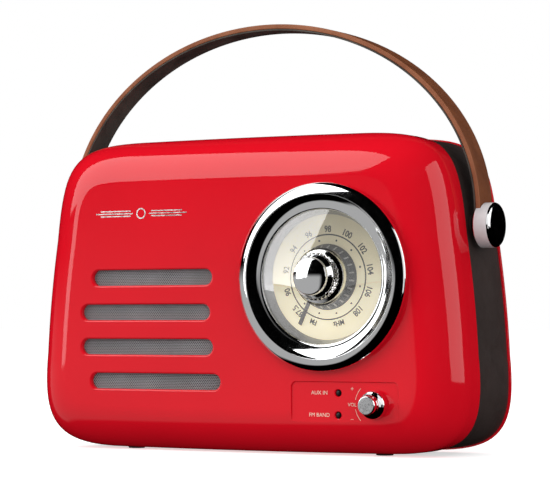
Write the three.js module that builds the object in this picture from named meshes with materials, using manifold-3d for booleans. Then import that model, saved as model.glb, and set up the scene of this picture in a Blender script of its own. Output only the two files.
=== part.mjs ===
// Portable FM radio with a leather carrying strap, as an assembly of separate pieces.
//
// Units are millimetres and +Z is up. Everything inside the case frame is placed by x (right, seen
// from the front), y (depth behind the flat front face) and z (height above the case's underside).
// The exported group moves that frame so that the origin is under the middle of the whole radio.
import * as THREE from "three";
import { mergeVertices } from "three/addons/utils/BufferGeometryUtils.js";
import Module from "manifold-3d";

const wasm = await Module();
wasm.setup();

// ---- driving dimensions -------------------------------------------------------------------

// Case outline seen from the front: a trapezoid, narrower at the top, with long eased corners.
const CASE = {
  height: 170,
  baseHalfWidth: 135.4, // where the side lines would meet the underside
  taper: 0.103, // how much the half width shrinks per mm of height
  topReach: 55, // length of a top corner along each of its two edges
  topPull: 0.9, // how squarely the corner is drawn: share of its reach held straight
  bottomReach: 53,
  bottomPull: 0.8,
  sideBulge: 0.8,
  topBulge: 0.3,
  bottomBulge: 0.4,
};
const CORNER_STEPS = 5;
const EDGE_STEPS = 2;

const WALL = 2.6;
const GAP = 0.3; // assembly gap between neighbouring mouldings
const FRONT_FILLET = 24; // round between the front face and the sides
const FRONT_DEPTH = 35; // front shell ends and the dark band starts
const BAND_INSET = 0.8; // the band lies this far inside the two red shells
const BAND_BACK = 73.2;
const BACK_FILLET = 6.2;
const CASE_DEPTH = 80;

const FOOT = { radius: 4.6, height: 1, seat: 0.8, x: 78, frontY: 29, backY: 66 };

// Loudspeaker behind four round-ended slots
const SLOTS = [
  { x0: -90.0, x1: -10.8, z: 93.9 },
  { x0: -97.1, x1: -12.1, z: 74.9 },
  { x0: -97.0, x1: -10.2, z: 56.0 },
  { x0: -90.8, x1: -5.4, z: 37.2 },
];
const SLOT_HEIGHT = 10.8;
const SLOT_BEVEL = 1.0;
const SPEAKER = { x: -52, z: 66, radius: 39, front: 5.6, segments: 16 };
const GRILLE = { x0: -102, x1: -1.5, z0: 26, z1: 105, thick: 0.7, corner: 6 };

// Dial: a chrome bezel around a clear window, with the scale sunk behind it
const DIAL = { x: 57, z: 93.2, holeRadius: 40.2, scaleY: 5 };
const POINTER_ANGLE = 147; // degrees anticlockwise from the top, at the low end of the scale
const KNOB_FRONT = -17.6;

// Recessed panel with two indicator lights and the volume knob
const PANEL = { x0: 37.3, x1: 100.4, z0: 15.9, z1: 38.3, corner: 3, sink: 0.8 };
const VOLUME = { x: 87.2, z: 26.6 };
const LIGHTS = { x: 65, z: [32.4, 20.8], radius: 1.9 };

// Strap: straight ends in the pivot bosses, then half an ellipse over the case
const STRAP = {
  y: 46, z: 120.5, width: 15.8, straight: 8, halfSpan: 129.4, rise: 105.2,
  leather: 2.65, lining: 0.9, tail: 6, steps: 28,
};
const BOSS = { radius: 11.9, x0: 126.8, x1: 136.4, slot: 2.9, hole: 2.6 };
const PIN_RADIUS = 2.3;

// Telescopic aerial lying across the back; its pin stands this far behind the back face
const AERIAL = { x: -92, z: 151, stand: 5, radius: 3, restX: 62, restWidth: 6, pinHole: 1.2 };

// Four long screws hold the rear cover to pillars on the front shell.
const SCREWS = [[-100, 131], [100, 131], [-114, 26], [114, 26]];
const SCREW = { radius: 1.3, tip: 56, headRadius: 2.9, headSink: 1.35, seatSink: 1.4, seatRadius: 3.3 };
const PILLAR = { radius: 3.6, y0: 12, y1: 70, bore: 1.9, boreDepth: 20, ribReach: 26, rib: 2 };

const VENTS = { x0: -76, x1: -28, z: 76, pitch: 8, count: 6, height: 3 };
const BATTERY = { x: 0, z: 40, y: 65, radius: 9.2, length: 65 };
const BATTERY_BOX = { halfWidth: 38.4, z0: 27.6, z1: 52.4, wall: 1.6, clearance: 0.6 };
const DOOR = { halfWidth: 44, z0: 24, z1: 57, corner: 4, thick: 2.2 };

// Recess in the rear cover with the sockets, the power slider and the mode button
const SOCKETS = { x0: 58, x1: 104, z0: 20, z1: 62, corner: 4, sink: 3, ledge: 2 };
const USB = { x: 90, z: 52, halfWidth: 6.7, halfHeight: 3.2 };
const AUX = { x: 70, z: 52, radius: 3.1 };
const CHARGE = { x: 70, z: 38, halfWidth: 4.3, halfHeight: 1.7 };
const POWER = { x: 89, z: 38, halfWidth: 2.4, halfHeight: 1.7, travel: 4 };
const MODE = { x: 80, z: 26.6, radius: 4.2 };
const BOARD = { x0: 50, x1: 108, z0: 14, z1: 68, thick: 1.6, back: CASE_DEPTH - SOCKETS.sink - 7 };

// ---- materials ----------------------------------------------------------------------------

const finish = (color, roughness, metalness = 0) =>
  new THREE.MeshStandardMaterial({ color, roughness, metalness, flatShading: true });
const RED = finish(0xdc1a26, 0.15);
const DARK = finish(0x332b2a, 0.4);
const BLACK = finish(0x161616, 0.5);
const CHROME = finish(0xe6e8ea, 0.06, 1);
const STEEL = finish(0xb4b6b8, 0.35, 1);
const CREAM = finish(0xf0e8c8, 0.6);
const GREY = finish(0x9a9a9c, 0.35, 0.6);
const MESH_GREY = finish(0x77787a, 0.5, 0.7);
const LEATHER = finish(0x8a4a32, 0.6);
const LINING = finish(0x3a3532, 0.8);
const RUBBER = finish(0x1a1a1a, 0.9);
const GREEN = finish(0x1e5a34, 0.6);
const PAPER = finish(0x2a2a2c, 0.9);
const CELL = finish(0x2d5f9a, 0.4);
const BRASS = finish(0xc8a860, 0.3, 1);
const CLEAR = finish(0xf4f8fa, 0.03);
CLEAR.transparent = true;
CLEAR.opacity = 0.3;

// ---- solids -------------------------------------------------------------------------------

// A geometry with only welded positions, turned so that its faces point out
function welded(geometry) {
  geometry.deleteAttribute("normal");
  geometry.deleteAttribute("uv");
  const mesh = mergeVertices(geometry, 1e-5);
  const p = mesh.attributes.position;
  const index = mesh.index.array;
  const corner = [new THREE.Vector3(), new THREE.Vector3(), new THREE.Vector3()];
  const kept = [];
  let volume = 0;
  for (let i = 0; i < index.length; i += 3) {
    const [a, b, c] = [index[i], index[i + 1], index[i + 2]];
    if (a === b || b === c || c === a) continue; // a lathe's triangles at its axis
    corner.forEach((v, k) => v.fromBufferAttribute(p, [a, b, c][k]));
    volume += corner[0].dot(corner[1].clone().cross(corner[2]));
    kept.push(a, b, c);
  }
  if (volume < 0) kept.reverse();
  mesh.setIndex(kept);
  return mesh;
}

function toSolid(geometry) {
  const mesh = welded(geometry);
  return new wasm.Manifold(new wasm.Mesh({
    numProp: 3,
    vertProperties: new Float32Array(mesh.attributes.position.array),
    triVerts: new Uint32Array(mesh.index.array),
  }));
}

function toGeometry(solid) {
  const mesh = solid.getMesh();
  const geometry = new THREE.BufferGeometry();
  geometry.setAttribute("position", new THREE.BufferAttribute(new Float32Array(mesh.vertProperties), 3));
  geometry.setIndex(new THREE.BufferAttribute(new Uint32Array(mesh.triVerts), 1));
  return geometry;
}

// base plus some geometries, less some others
function carve(base, { add = [], cut = [] }) {
  let solid = toSolid(base);
  for (const geometry of add) solid = solid.add(toSolid(geometry));
  for (const geometry of cut) solid = solid.subtract(toSolid(geometry));
  return toGeometry(solid);
}

// Closed skin over outlines of equal point count; each ring is { outline, y }, y rising
function loft(rings) {
  const count = rings[0].outline.length;
  const positions = rings.flatMap(({ outline, y }) => outline.flatMap((p) => [p.x, y, p.y]));
  const index = [];
  for (let r = 0; r + 1 < rings.length; r++) {
    for (let i = 0; i < count; i++) {
      const j = (i + 1) % count;
      const [a, b, c, d] = [r * count + i, r * count + j, (r + 1) * count + i, (r + 1) * count + j];
      index.push(a, d, b, a, c, d);
    }
  }
  const last = (rings.length - 1) * count;
  for (const [a, b, c] of THREE.ShapeUtils.triangulateShape(rings[0].outline, [])) index.push(a, b, c);
  for (const [a, b, c] of THREE.ShapeUtils.triangulateShape(rings.at(-1).outline, [])) {
    index.push(last + c, last + b, last + a);
  }
  const geometry = new THREE.BufferGeometry();
  geometry.setAttribute("position", new THREE.Float32BufferAttribute(positions, 3));
  geometry.setIndex(index);
  return geometry;
}

// A flat shape drawn in x and z, thick from y0 to y1
function slab(shape, y0, y1, curveSegments = 3) {
  const geometry = new THREE.ExtrudeGeometry(shape, { depth: y1 - y0, bevelEnabled: false, curveSegments });
  return geometry.rotateX(Math.PI / 2).translate(0, y1, 0);
}

// A profile of [radius, y] points turned about the Y axis
function turned(profile, segments = 24) {
  const points = profile.map(([r, y]) => new THREE.Vector2(r, y));
  const onAxis = points[0].x === 0 && points.at(-1).x === 0;
  if (!onAxis) points.push(points[0].clone());
  return new THREE.LatheGeometry(points, segments);
}

// A cylinder along Y from y0 to y1
function rod(radius, y0, y1, segments = 14) {
  return new THREE.CylinderGeometry(radius, radius, y1 - y0, segments).translate(0, (y0 + y1) / 2, 0);
}

// A ring along Y
function tube(outer, inner, y0, y1, segments = 12) {
  return turned([[inner, y0], [outer, y0], [outer, y1], [inner, y1]], segments);
}

// Something made along Y turned to run along +X (side 1) or -X (side -1)
const alongX = (geometry, side = 1) => geometry.rotateZ(-side * Math.PI / 2);

function block(x0, x1, y0, y1, z0, z1) {
  const geometry = new THREE.BoxGeometry(x1 - x0, y1 - y0, z1 - z0);
  return geometry.translate((x0 + x1) / 2, (y0 + y1) / 2, (z0 + z1) / 2);
}

// ---- outlines -----------------------------------------------------------------------------

// The case outline, drawn in by `inset`, anticlockwise from the lower right corner
function caseOutline(inset = 0) {
  const slant = Math.hypot(1, CASE.taper);
  const top = CASE.height - inset;
  const halfWidth = (z) => CASE.baseHalfWidth - CASE.taper * z - inset * slant;
  const lowX = halfWidth(inset);
  const highX = halfWidth(top);
  const vertices = [[lowX, inset], [highX, top], [-highX, top], [-lowX, inset]].map(
    ([x, z]) => new THREE.Vector2(x, z));
  const reach = [CASE.bottomReach, CASE.topReach, CASE.topReach, CASE.bottomReach].map((r) => r - inset);
  const pull = [CASE.bottomPull, CASE.topPull, CASE.topPull, CASE.bottomPull];
  const bulge = [CASE.sideBulge, CASE.topBulge, CASE.sideBulge, CASE.bottomBulge];
  const along = (from, to, distance) => to.clone().sub(from).setLength(distance).add(from);

  const points = [];
  for (let i = 0; i < 4; i++) {
    const [before, vertex, after] = [vertices[(i + 3) % 4], vertices[i], vertices[(i + 1) % 4]];
    const start = along(vertex, before, reach[i]);
    const end = along(vertex, after, reach[i]);
    const corner = new THREE.CubicBezierCurve(
      start, start.clone().lerp(vertex, pull[i]), end.clone().lerp(vertex, pull[i]), end);
    points.push(...corner.getPoints(CORNER_STEPS));

    const next = along(after, vertex, reach[(i + 1) % 4]);
    const run = next.clone().sub(end);
    const outward = new THREE.Vector2(run.y, -run.x).setLength(2 * bulge[i]);
    const edge = new THREE.QuadraticBezierCurve(end, end.clone().lerp(next, 0.5).add(outward), next);
    points.push(...edge.getPoints(EDGE_STEPS).slice(1, -1));
  }
  return points;
}

function rectangle(x0, x1, z0, z1, corner) {
  const shape = new THREE.Shape();
  shape.moveTo(x0 + corner, z0).lineTo(x1 - corner, z0);
  shape.absarc(x1 - corner, z0 + corner, corner, -Math.PI / 2, 0);
  shape.absarc(x1 - corner, z1 - corner, corner, 0, Math.PI / 2);
  shape.absarc(x0 + corner, z1 - corner, corner, Math.PI / 2, Math.PI);
  shape.absarc(x0 + corner, z0 + corner, corner, Math.PI, 1.5 * Math.PI);
  return shape;
}

// A slot with round ends, drawn in by `inset`, as points for a loft
function slotOutline({ x0, x1, z }, inset) {
  const half = SLOT_HEIGHT / 2 - inset;
  const shape = rectangle(x0 + inset, x1 - inset, z - half, z + half, half - 0.01);
  return shape.getPoints(3).filter((p, i, all) => i === 0 || p.distanceTo(all[i - 1]) > 1e-3);
}

// ---- case ---------------------------------------------------------------------------------

// Rings from the flat front back to `end`, round the front fillet
function shellRings(inset, sink, end, steps) {
  const radius = FRONT_FILLET - inset;
  const rings = [];
  for (let i = 0; i <= steps; i++) {
    const turn = (i / steps) * (Math.PI / 2);
    rings.push({
      outline: caseOutline(inset + radius * (1 - Math.sin(turn))),
      y: sink + radius * (1 - Math.cos(turn)),
    });
  }
  rings.push({ outline: caseOutline(inset), y: end });
  return rings;
}

function footSeat(x, y) {
  return rod(FOOT.radius + GAP, -5, FOOT.seat, 10).rotateX(Math.PI / 2).translate(x, y, 0);
}

function frontShell() {
  const skin = loft(shellRings(0, 0, FRONT_DEPTH, 6));
  const hollow = loft(shellRings(WALL, WALL, FRONT_DEPTH + 1, 4));
  const cuts = [];
  for (const slot of SLOTS) {
    cuts.push(loft([
      { outline: slotOutline(slot, -0.3), y: -0.3 },
      { outline: slotOutline(slot, SLOT_BEVEL), y: SLOT_BEVEL },
      { outline: slotOutline(slot, SLOT_BEVEL), y: WALL + 1 },
    ]));
  }
  cuts.push(rod(DIAL.holeRadius, -1, WALL + 1, 30).translate(DIAL.x, 0, DIAL.z));
  cuts.push(slab(rectangle(PANEL.x0, PANEL.x1, PANEL.z0, PANEL.z1, PANEL.corner), -1, PANEL.sink));
  cuts.push(rod(3.2, -1, WALL + 1, 12).translate(VOLUME.x, 0, VOLUME.z));
  for (const z of LIGHTS.z) cuts.push(rod(LIGHTS.radius, -1, WALL + 1, 8).translate(LIGHTS.x, 0, z));
  for (const x of [-FOOT.x, FOOT.x]) cuts.push(footSeat(x, FOOT.frontY));
  const shell = carve(skin, { cut: [hollow, ...cuts] });

  const { radius, y0, y1, bore, boreDepth } = PILLAR;
  const pillars = SCREWS.map(([x, z]) => rod(radius, y0, y1, 8).translate(x, 0, z));
  const bores = SCREWS.map(([x, z]) => rod(bore, y1 - boreDepth, y1 + 1, 6).translate(x, 0, z));
  return carve(shell, { add: [pillarRibs(), ...pillars], cut: bores });
}

// A web from each screw pillar out to the side wall
function pillarRibs() {
  const inside = toSolid(loft(shellRings(WALL - 0.5, WALL - 0.5, FRONT_DEPTH + 40, 4)));
  const half = PILLAR.rib / 2;
  const ribs = SCREWS.map(([x, z]) => {
    const wallSide = x + Math.sign(x) * PILLAR.ribReach;
    return block(Math.min(x, wallSide), Math.max(x, wallSide), 13, 30, z - half, z + half);
  });
  const joined = ribs.map(toSolid).reduce((all, rib) => all.add(rib));
  return toGeometry(joined.intersect(inside));
}

function middleBand() {
  const lip = WALL + GAP; // the lips reach inside both red shells
  const lipWall = 1.6;
  const outside = loft([
    { outline: caseOutline(BAND_INSET), y: FRONT_DEPTH + GAP },
    { outline: caseOutline(BAND_INSET), y: BAND_BACK },
  ]);
  const lips = loft([
    { outline: caseOutline(lip), y: FRONT_DEPTH - 3 },
    { outline: caseOutline(lip), y: BAND_BACK + 2 },
  ]);
  const hollow = loft([
    { outline: caseOutline(lip + lipWall), y: FRONT_DEPTH - 4 },
    { outline: caseOutline(lip + lipWall), y: BAND_BACK + 4 },
  ]);
  const seats = [];
  const holes = [];
  for (const side of [-1, 1]) {
    seats.push(alongX(rod(6, 116, 122.9, 14), side).translate(0, STRAP.y, STRAP.z));
    holes.push(alongX(rod(PIN_RADIUS + GAP, 110, 130, 12), side).translate(0, STRAP.y, STRAP.z));
    holes.push(footSeat(side * FOOT.x, FOOT.backY));
  }
  const shell = carve(outside, { add: [lips], cut: [hollow] });
  return carve(shell, { add: seats, cut: holes });
}

function rearCover() {
  const rings = [{ outline: caseOutline(0), y: BAND_BACK + GAP }];
  const steps = 3;
  for (let i = 0; i <= steps; i++) {
    const turn = (i / steps) * (Math.PI / 2);
    rings.push({
      outline: caseOutline(BACK_FILLET * (1 - Math.cos(turn))),
      y: CASE_DEPTH - BACK_FILLET * (1 - Math.sin(turn)),
    });
  }
  const hollow = loft([
    { outline: caseOutline(WALL), y: BAND_BACK - 1 },
    { outline: caseOutline(WALL), y: CASE_DEPTH - WALL },
  ]);
  const walls = carve(loft(rings), { cut: [hollow] });

  const restTop = AERIAL.z - AERIAL.radius - GAP;
  const boxFront = BATTERY.y - BATTERY.radius - BATTERY_BOX.clearance;
  const { halfWidth, z0, z1, wall } = BATTERY_BOX;
  const add = [
    block(AERIAL.restX, AERIAL.restX + AERIAL.restWidth, CASE_DEPTH - 1, CASE_DEPTH + AERIAL.stand,
      restTop - 3, restTop),
    block(-halfWidth - wall, halfWidth + wall, boxFront - wall, CASE_DEPTH - 2, z0 - wall, z1 + wall),
    recess(1.6, CASE_DEPTH - SOCKETS.sink - 2, CASE_DEPTH - 1),
  ];
  const cut = [
    rod(2.8, 70, CASE_DEPTH + 1, 12).translate(AERIAL.x, 0, AERIAL.z),
    block(-halfWidth, halfWidth, boxFront, CASE_DEPTH + 1, z0, z1),
    slab(rectangle(-DOOR.halfWidth, DOOR.halfWidth, DOOR.z0, DOOR.z1, DOOR.corner),
      CASE_DEPTH - DOOR.thick - 0.2, CASE_DEPTH + 1),
    recess(0, 70, CASE_DEPTH + 1),
    block(-5, 5, CASE_DEPTH - 1.2, CASE_DEPTH + 1, DOOR.z1 - 1, DOOR.z1 + 5), // fingertip scoop
  ];
  for (let row = 0; row < VENTS.count; row++) {
    const z = VENTS.z + row * VENTS.pitch;
    const half = VENTS.height / 2;
    cut.push(slab(rectangle(VENTS.x0, VENTS.x1, z - half, z + half, half - 0.05), 70, 90, 2));
  }
  for (const [x, z] of SCREWS) {
    cut.push(rod(1.8, 60, 90, 6).translate(x, 0, z));
    cut.push(rod(SCREW.seatRadius, CASE_DEPTH - SCREW.seatSink, 90, 10).translate(x, 0, z));
  }
  const ledgeBack = CASE_DEPTH - SOCKETS.sink - 1; // the socket panel lies on this ledge
  return carve(carve(walls, { add, cut }), {
    add: [recess(0.5, ledgeBack - 1, ledgeBack)],
    cut: [recess(-SOCKETS.ledge, 70, 90)],
  });
}

// The socket recess grown by a margin, from y0 to y1
function recess(margin, y0, y1) {
  const { x0, x1, z0, z1, corner } = SOCKETS;
  return slab(rectangle(x0 - margin, x1 + margin, z0 - margin, z1 + margin, corner + margin / 2), y0, y1);
}

function foot() {
  const { radius, height, seat } = FOOT;
  const top = height + seat - 0.25;
  return turned([[0, 0], [radius - 0.5, 0], [radius, 0.5], [radius, top], [0, top]], 10).rotateX(Math.PI / 2);
}

function caseScrew() {
  const { radius, tip, headRadius, headSink } = SCREW;
  const head = CASE_DEPTH - headSink;
  return turned([
    [0, tip], [radius, tip], [radius, head], [headRadius, head], [headRadius, head + 0.7], [2.3, head + 1.1],
    [0, head + 1.1],
  ], 8);
}

// ---- loudspeaker --------------------------------------------------------------------------

function speakerBasket() {
  const { front, radius, segments } = SPEAKER;
  const basket = turned([
    [33.6, front], [radius, front], [radius, front + 1.4], [35, front + 1.4], [34.8, front + 4.6],
    [21, front + 20], [21, front + 21.4], [12.5, front + 21.4], [12.5, front + 20], [19.6, front + 20],
    [33.4, front + 4],
  ], segments);
  const windows = [0, 1, 2, 3].map((quarter) => block(20, 36, front + 8, front + 17, -9, 9)
    .rotateY(quarter * Math.PI / 2 + Math.PI / 4));
  return carve(basket, { cut: windows });
}

function speakerMagnet() {
  const back = SPEAKER.front + 21.7;
  return turned([
    [0, back - 1], [10.2, back - 1], [10.2, back], [22, back], [22, back + 10], [24, back + 10],
    [24, back + 13], [0, back + 13],
  ], 16);
}

// Paper cone with a half-round roll at its rim
function speakerCone() {
  const { front, segments } = SPEAKER;
  return turned([
    [32, front + 1.4], [30.5, front + 0.5], [28.5, front + 1.6], [11, front + 15.5], [11, front + 17.5],
    [10.4, front + 17.5], [10.4, front + 15], [28, front + 1], [30.5, front], [32.6, front + 1.1],
  ], segments);
}

function dustCap() {
  const base = SPEAKER.front + 13.6;
  return turned([[0, base - 4], [4, base - 3.5], [8, base - 1.9], [10.8, base + 0.6], [10.2, base + 0.6],
    [7.6, base - 1.2], [4, base - 2.8], [0, base - 3.3]], 10);
}

// ---- dial ---------------------------------------------------------------------------------

// Convex rim, crest, then a flute down to the lip that holds the window
function dialBezel() {
  const rim = new THREE.CubicBezierCurve(
    new THREE.Vector2(48.4, -0.3), new THREE.Vector2(48.4, -3.6),
    new THREE.Vector2(46.8, -6.6), new THREE.Vector2(44.9, -6.6)).getPoints(3);
  const flute = new THREE.CubicBezierCurve(
    new THREE.Vector2(44.2, -6.3), new THREE.Vector2(42.6, -4.6),
    new THREE.Vector2(40.2, -3.7), new THREE.Vector2(38.2, -3.6)).getPoints(3);
  const profile = [...rim, ...flute].map((p) => [p.x, p.y]);
  profile.push([37.5, -3.3], [37.2, -2.7], [38.9, -2.6], [38.9, 2.4], [39.9, 2.4], [39.9, -0.3]);
  return turned(profile, 32);
}

function dialRing() {
  return turned([[37.3, -0.9], [38.6, -0.9], [38.6, 0.6], [34.2, 4.7], [32.9, 4.7]], 24);
}

// A slightly domed clear window with a hole for the tuning knob
function dialWindow() {
  const thick = 1.1;
  const outside = [[15.2, -4.1], [24, -3.7], [33, -2.8], [38.5, -2.3]];
  const inside = outside.map(([r, y]) => [r, y + thick]).reverse();
  return turned([...outside, ...inside], 24);
}

function scalePlate() {
  return tube(38.4, 4, DIAL.scaleY, DIAL.scaleY + 1.2, 24);
}

function dialCup() {
  return turned([[3.8, 6.6], [38.8, 6.6], [38.8, 2.9], [41.6, 2.9], [41.6, 8.4], [3.8, 8.4]], 24);
}

function tuningCapacitor() {
  const body = slab(rectangle(-12, 12, -12, 12, 1.5), 9, 22);
  return carve(body, { cut: [rod(3.3, 8, 13)] });
}

function tuningShaft() {
  return rod(3, -13, 12.6, 12);
}

// Ribbed skirt behind the knob: the scale's inner ring
function tuningCollar() {
  return turned([[3.3, 0.2], [15, 0.2], [17.4, 4.1], [17.4, 4.6], [3.3, 4.6]], 24);
}

// A hub washer between knob and collar, with a bent arm that reaches over the scale
function pointer() {
  const arm = new THREE.Shape([
    [10, -0.4], [14.8, -0.4], [29.6, 3.5], [30, 4.1], [29.2, 4.2], [14.6, 0.05], [10, 0.05],
  ].map(([r, y]) => new THREE.Vector2(r, y)));
  const width = 2.1;
  const bar = new THREE.ExtrudeGeometry(arm, { depth: width, bevelEnabled: false });
  bar.translate(0, 0, -width / 2).rotateY(-Math.PI / 2 - THREE.MathUtils.degToRad(POINTER_ANGLE));
  const hub = tube(12, 3.3, -0.5, 0, 20);
  return carve(hub, { add: [bar] });
}

// Domed chrome cap, flared shoulder, knurled grip, then a plain drum
function tuningKnob() {
  const front = KNOB_FRONT;
  const body = turned([
    [0, front], [3.5, front + 0.15], [6.6, front + 0.8], [8.8, front + 1.7], [9.7, front + 2.6],
    [9.8, front + 3.4], [11.6, front + 5.6], [11.9, front + 6.1],
    [11.9, front + 11.3], [14.2, front + 12.2], [14.3, front + 13], [14.3, -1.4], [13.6, -0.9],
    [3.2, -0.9], [3.2, -13.4], [0, -13.4],
  ], 24);
  return carve(body, { add: [knurlBand(front + 6.4, front + 11.2, 11, 12.5, 24)] });
}

// A band of pointed ribs along the axis
function knurlBand(y0, y1, root, tip, ribs) {
  const outline = [];
  for (let i = 0; i < ribs * 2; i++) {
    const turn = (i / (ribs * 2)) * 2 * Math.PI;
    const radius = i % 2 ? tip : tip - 0.6;
    outline.push(new THREE.Vector2(radius * Math.cos(turn), radius * Math.sin(turn)));
  }
  const shape = new THREE.Shape(outline);
  shape.holes.push(new THREE.Path().absarc(0, 0, root, 0, 2 * Math.PI, true));
  return slab(shape, y0, y1, 16);
}

// ---- controls on the front panel ----------------------------------------------------------

function volumeKnob() {
  return turned([
    [0, -10.9], [4, -10.9], [4.7, -10.3], [5, -9.4], [5, -6.2], [6, -5.2], [6.9, -4.6], [7.3, -3.8],
    [7.3, 0.2], [6.8, 0.5], [2.2, 0.5], [2.2, -8.4], [0, -8.4],
  ], 16);
}

function volumeControl() {
  const body = rod(8.2, 4.6, 10);
  const bush = rod(2.9, WALL + GAP, 5, 12);
  return carve(body, { add: [bush], cut: [rod(2.25, 0, 8.3, 12)] });
}

function light() {
  return turned([[0, 1.5], [0.9, 1.3], [1.6, 0.9], [1.6, 7], [2.1, 7], [2.1, 9.6], [0, 9.6]], 8);
}

// ---- strap --------------------------------------------------------------------------------

// The side view of the strap between two offsets from its outer face
function strapLayer(outer, inner) {
  const { halfSpan, rise, straight, tail, width, steps } = STRAP;
  const arch = (offset, direction) => {
    const points = [];
    for (let i = 0; i <= steps; i++) {
      const turn = (i / steps) * Math.PI;
      points.push(new THREE.Vector2(
        (halfSpan - offset) * Math.cos(turn), straight + (rise - offset) * Math.sin(turn)));
    }
    points.unshift(new THREE.Vector2(halfSpan - offset, -tail));
    points.push(new THREE.Vector2(offset - halfSpan, -tail));
    return direction > 0 ? points : points.reverse();
  };
  const shape = new THREE.Shape([...arch(outer, 1), ...arch(inner, -1)]);
  const holes = [-1, 1].map((side) => alongX(rod(BOSS.hole, 100, 150, 12), side));
  return carve(slab(shape, -width / 2, width / 2), { cut: holes });
}

// Chrome disc with a seat on its inner face for the strap's end
function boss(side) {
  const { radius, x0, x1, slot } = BOSS;
  const disc = turned([
    [0, x0], [radius - 0.5, x0], [radius, x0 + 0.5], [radius, x1 - 1.7], [radius - 0.5, x1 - 0.8],
    [radius - 1.5, x1 - 0.2], [radius - 3, x1], [0, x1],
  ], 20);
  const seatWidth = STRAP.width / 2 + GAP;
  const seat = block(-(x0 + slot), -(x0 - 1), -seatWidth, seatWidth, -STRAP.tail - GAP, 20);
  if (side > 0) seat.rotateZ(Math.PI);
  const hole = alongX(rod(BOSS.hole, x0 - 1, x0 + 6), side);
  return carve(alongX(disc, side), { cut: [seat, hole] });
}

const pivotPin = (side) => alongX(turned([[0, 111], [PIN_RADIUS - 0.4, 111], [PIN_RADIUS, 111.4],
  [PIN_RADIUS, 132.4], [0, 132.4]], 12), side);
const pivotWasher = (side) => alongX(tube(4.2, PIN_RADIUS + GAP, 123.2, 125.5, 12), side);
function pivotNut(side) {
  const nut = new THREE.CylinderGeometry(4.6, 4.6, 3, 6).translate(0, 114.2, 0);
  return alongX(carve(nut, { cut: [rod(PIN_RADIUS + GAP, 110, 120)] }), side);
}

// ---- aerial -------------------------------------------------------------------------------

// The aerial's own frame: its origin is the tilt pin and the rod lies along +X.
function aerialFoot() {
  const back = -AERIAL.stand;
  const turret = turned([[0, back - 6], [2.5, back - 6], [2.5, back + GAP], [6, back + GAP],
    [6, back + 1.2], [0, back + 1.2]], 16);
  const fork = block(-3.4, 3.4, back + 1, 2.6, -3.5, 3.5);
  const gap = block(-10, 10, -2.6, 10, -2, 2);
  return carve(turret, { add: [carve(fork, { cut: [gap] })], cut: [pinHole()] });
}

const pinHole = () => rod(AERIAL.pinHole, -5, 5, 8).rotateX(Math.PI / 2);
const aerialPin = () => rod(AERIAL.pinHole - 0.2, -3.4, 3.4, 8).rotateX(Math.PI / 2);

function aerialOuter() {
  const { radius } = AERIAL;
  const tongue = rod(2.2, -1.7, 1.7, 12).rotateX(Math.PI / 2);
  const neck = block(0, 5, -2, 2, -1.7, 1.7);
  const sleeve = alongX(turned([
    [0, 4.6], [radius, 4.6], [radius, 160], [2.45, 160], [2.45, 12], [0, 12],
  ], 12));
  return carve(sleeve, { add: [tongue, neck], cut: [pinHole()] });
}

function aerialMiddle() {
  return alongX(turned([[0, 13], [2.3, 13], [2.3, 163], [1.65, 163], [1.65, 16], [0, 16]], 12));
}

function aerialTip() {
  return alongX(turned([
    [0, 17], [1.5, 17], [1.5, 163.6], [2.6, 163.9], [3.0, 165], [3.0, 167.4], [2.4, 168], [0, 168],
  ], 12));
}

// ---- back ---------------------------------------------------------------------------------

function batteryDoor() {
  const { halfWidth, z0, z1, corner, thick } = DOOR;
  const back = CASE_DEPTH;
  const shape = rectangle(-halfWidth + GAP, halfWidth - GAP, z0 + GAP, z1 - GAP, corner - GAP);
  const grips = [4.2, 6, 7.8, 9.6].map((down) => block(
    -6, 6, back - 0.6, back + 1, z1 - down, z1 - down + 0.9));
  return carve(slab(shape, back - thick + 0.1, back - 0.1), { cut: grips });
}

function batteryCell() {
  const { radius, length } = BATTERY;
  return alongX(turned([
    [0, -length / 2], [radius - 0.6, -length / 2], [radius, -length / 2 + 0.6], [radius, length / 2 - 0.6],
    [radius - 0.6, length / 2], [2.8, length / 2], [2.8, length / 2 + 1.6], [0, length / 2 + 1.6],
  ], 12));
}

function socketPanel() {
  const front = CASE_DEPTH - SOCKETS.sink - 0.7;
  const hole = ({ x, z, halfWidth, halfHeight }, room) => block(
    x - halfWidth - room, x + halfWidth + room, 70, 90, z - halfHeight - GAP, z + halfHeight + GAP);
  return carve(recess(-GAP, front, front + 1.5), {
    cut: [
      hole(USB, GAP),
      hole(CHARGE, GAP),
      hole(POWER, POWER.travel / 2 + GAP),
      rod(AUX.radius + GAP, 70, 90, 12).translate(AUX.x, 0, AUX.z),
      rod(MODE.radius + GAP, 70, 90).translate(MODE.x, 0, MODE.z),
    ],
  });
}

function mainBoard() {
  const { x0, x1, z0, z1, thick, back } = BOARD;
  const board = slab(rectangle(x0, x1, z0, z1, 1), back - thick, back);
  return carve(board, { cut: [rod(2, 60, 90, 8).translate(104, 0, 18)] });
}

function usbSocket() {
  const { halfWidth, halfHeight } = USB;
  const wall = 0.5;
  const outer = block(-halfWidth, halfWidth, BOARD.back + GAP, CASE_DEPTH - 1.4, -halfHeight, halfHeight);
  const mouth = block(wall - halfWidth, halfWidth - wall, BOARD.back + 2, CASE_DEPTH,
    wall - halfHeight, halfHeight - wall);
  const tongue = block(-5.2, 5.2, BOARD.back + 1.5, CASE_DEPTH - 2.4, -0.2, 1.6);
  return carve(outer, { cut: [carve(mouth, { cut: [tongue] })] });
}

function auxSocket() {
  const mouth = 1.8;
  const [front, back] = [BOARD.back + GAP, CASE_DEPTH - 1.6];
  return turned([
    [0, front], [AUX.radius, front], [AUX.radius, back], [mouth, back], [mouth, front + 2], [0, front + 2],
  ], 12);
}

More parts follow.
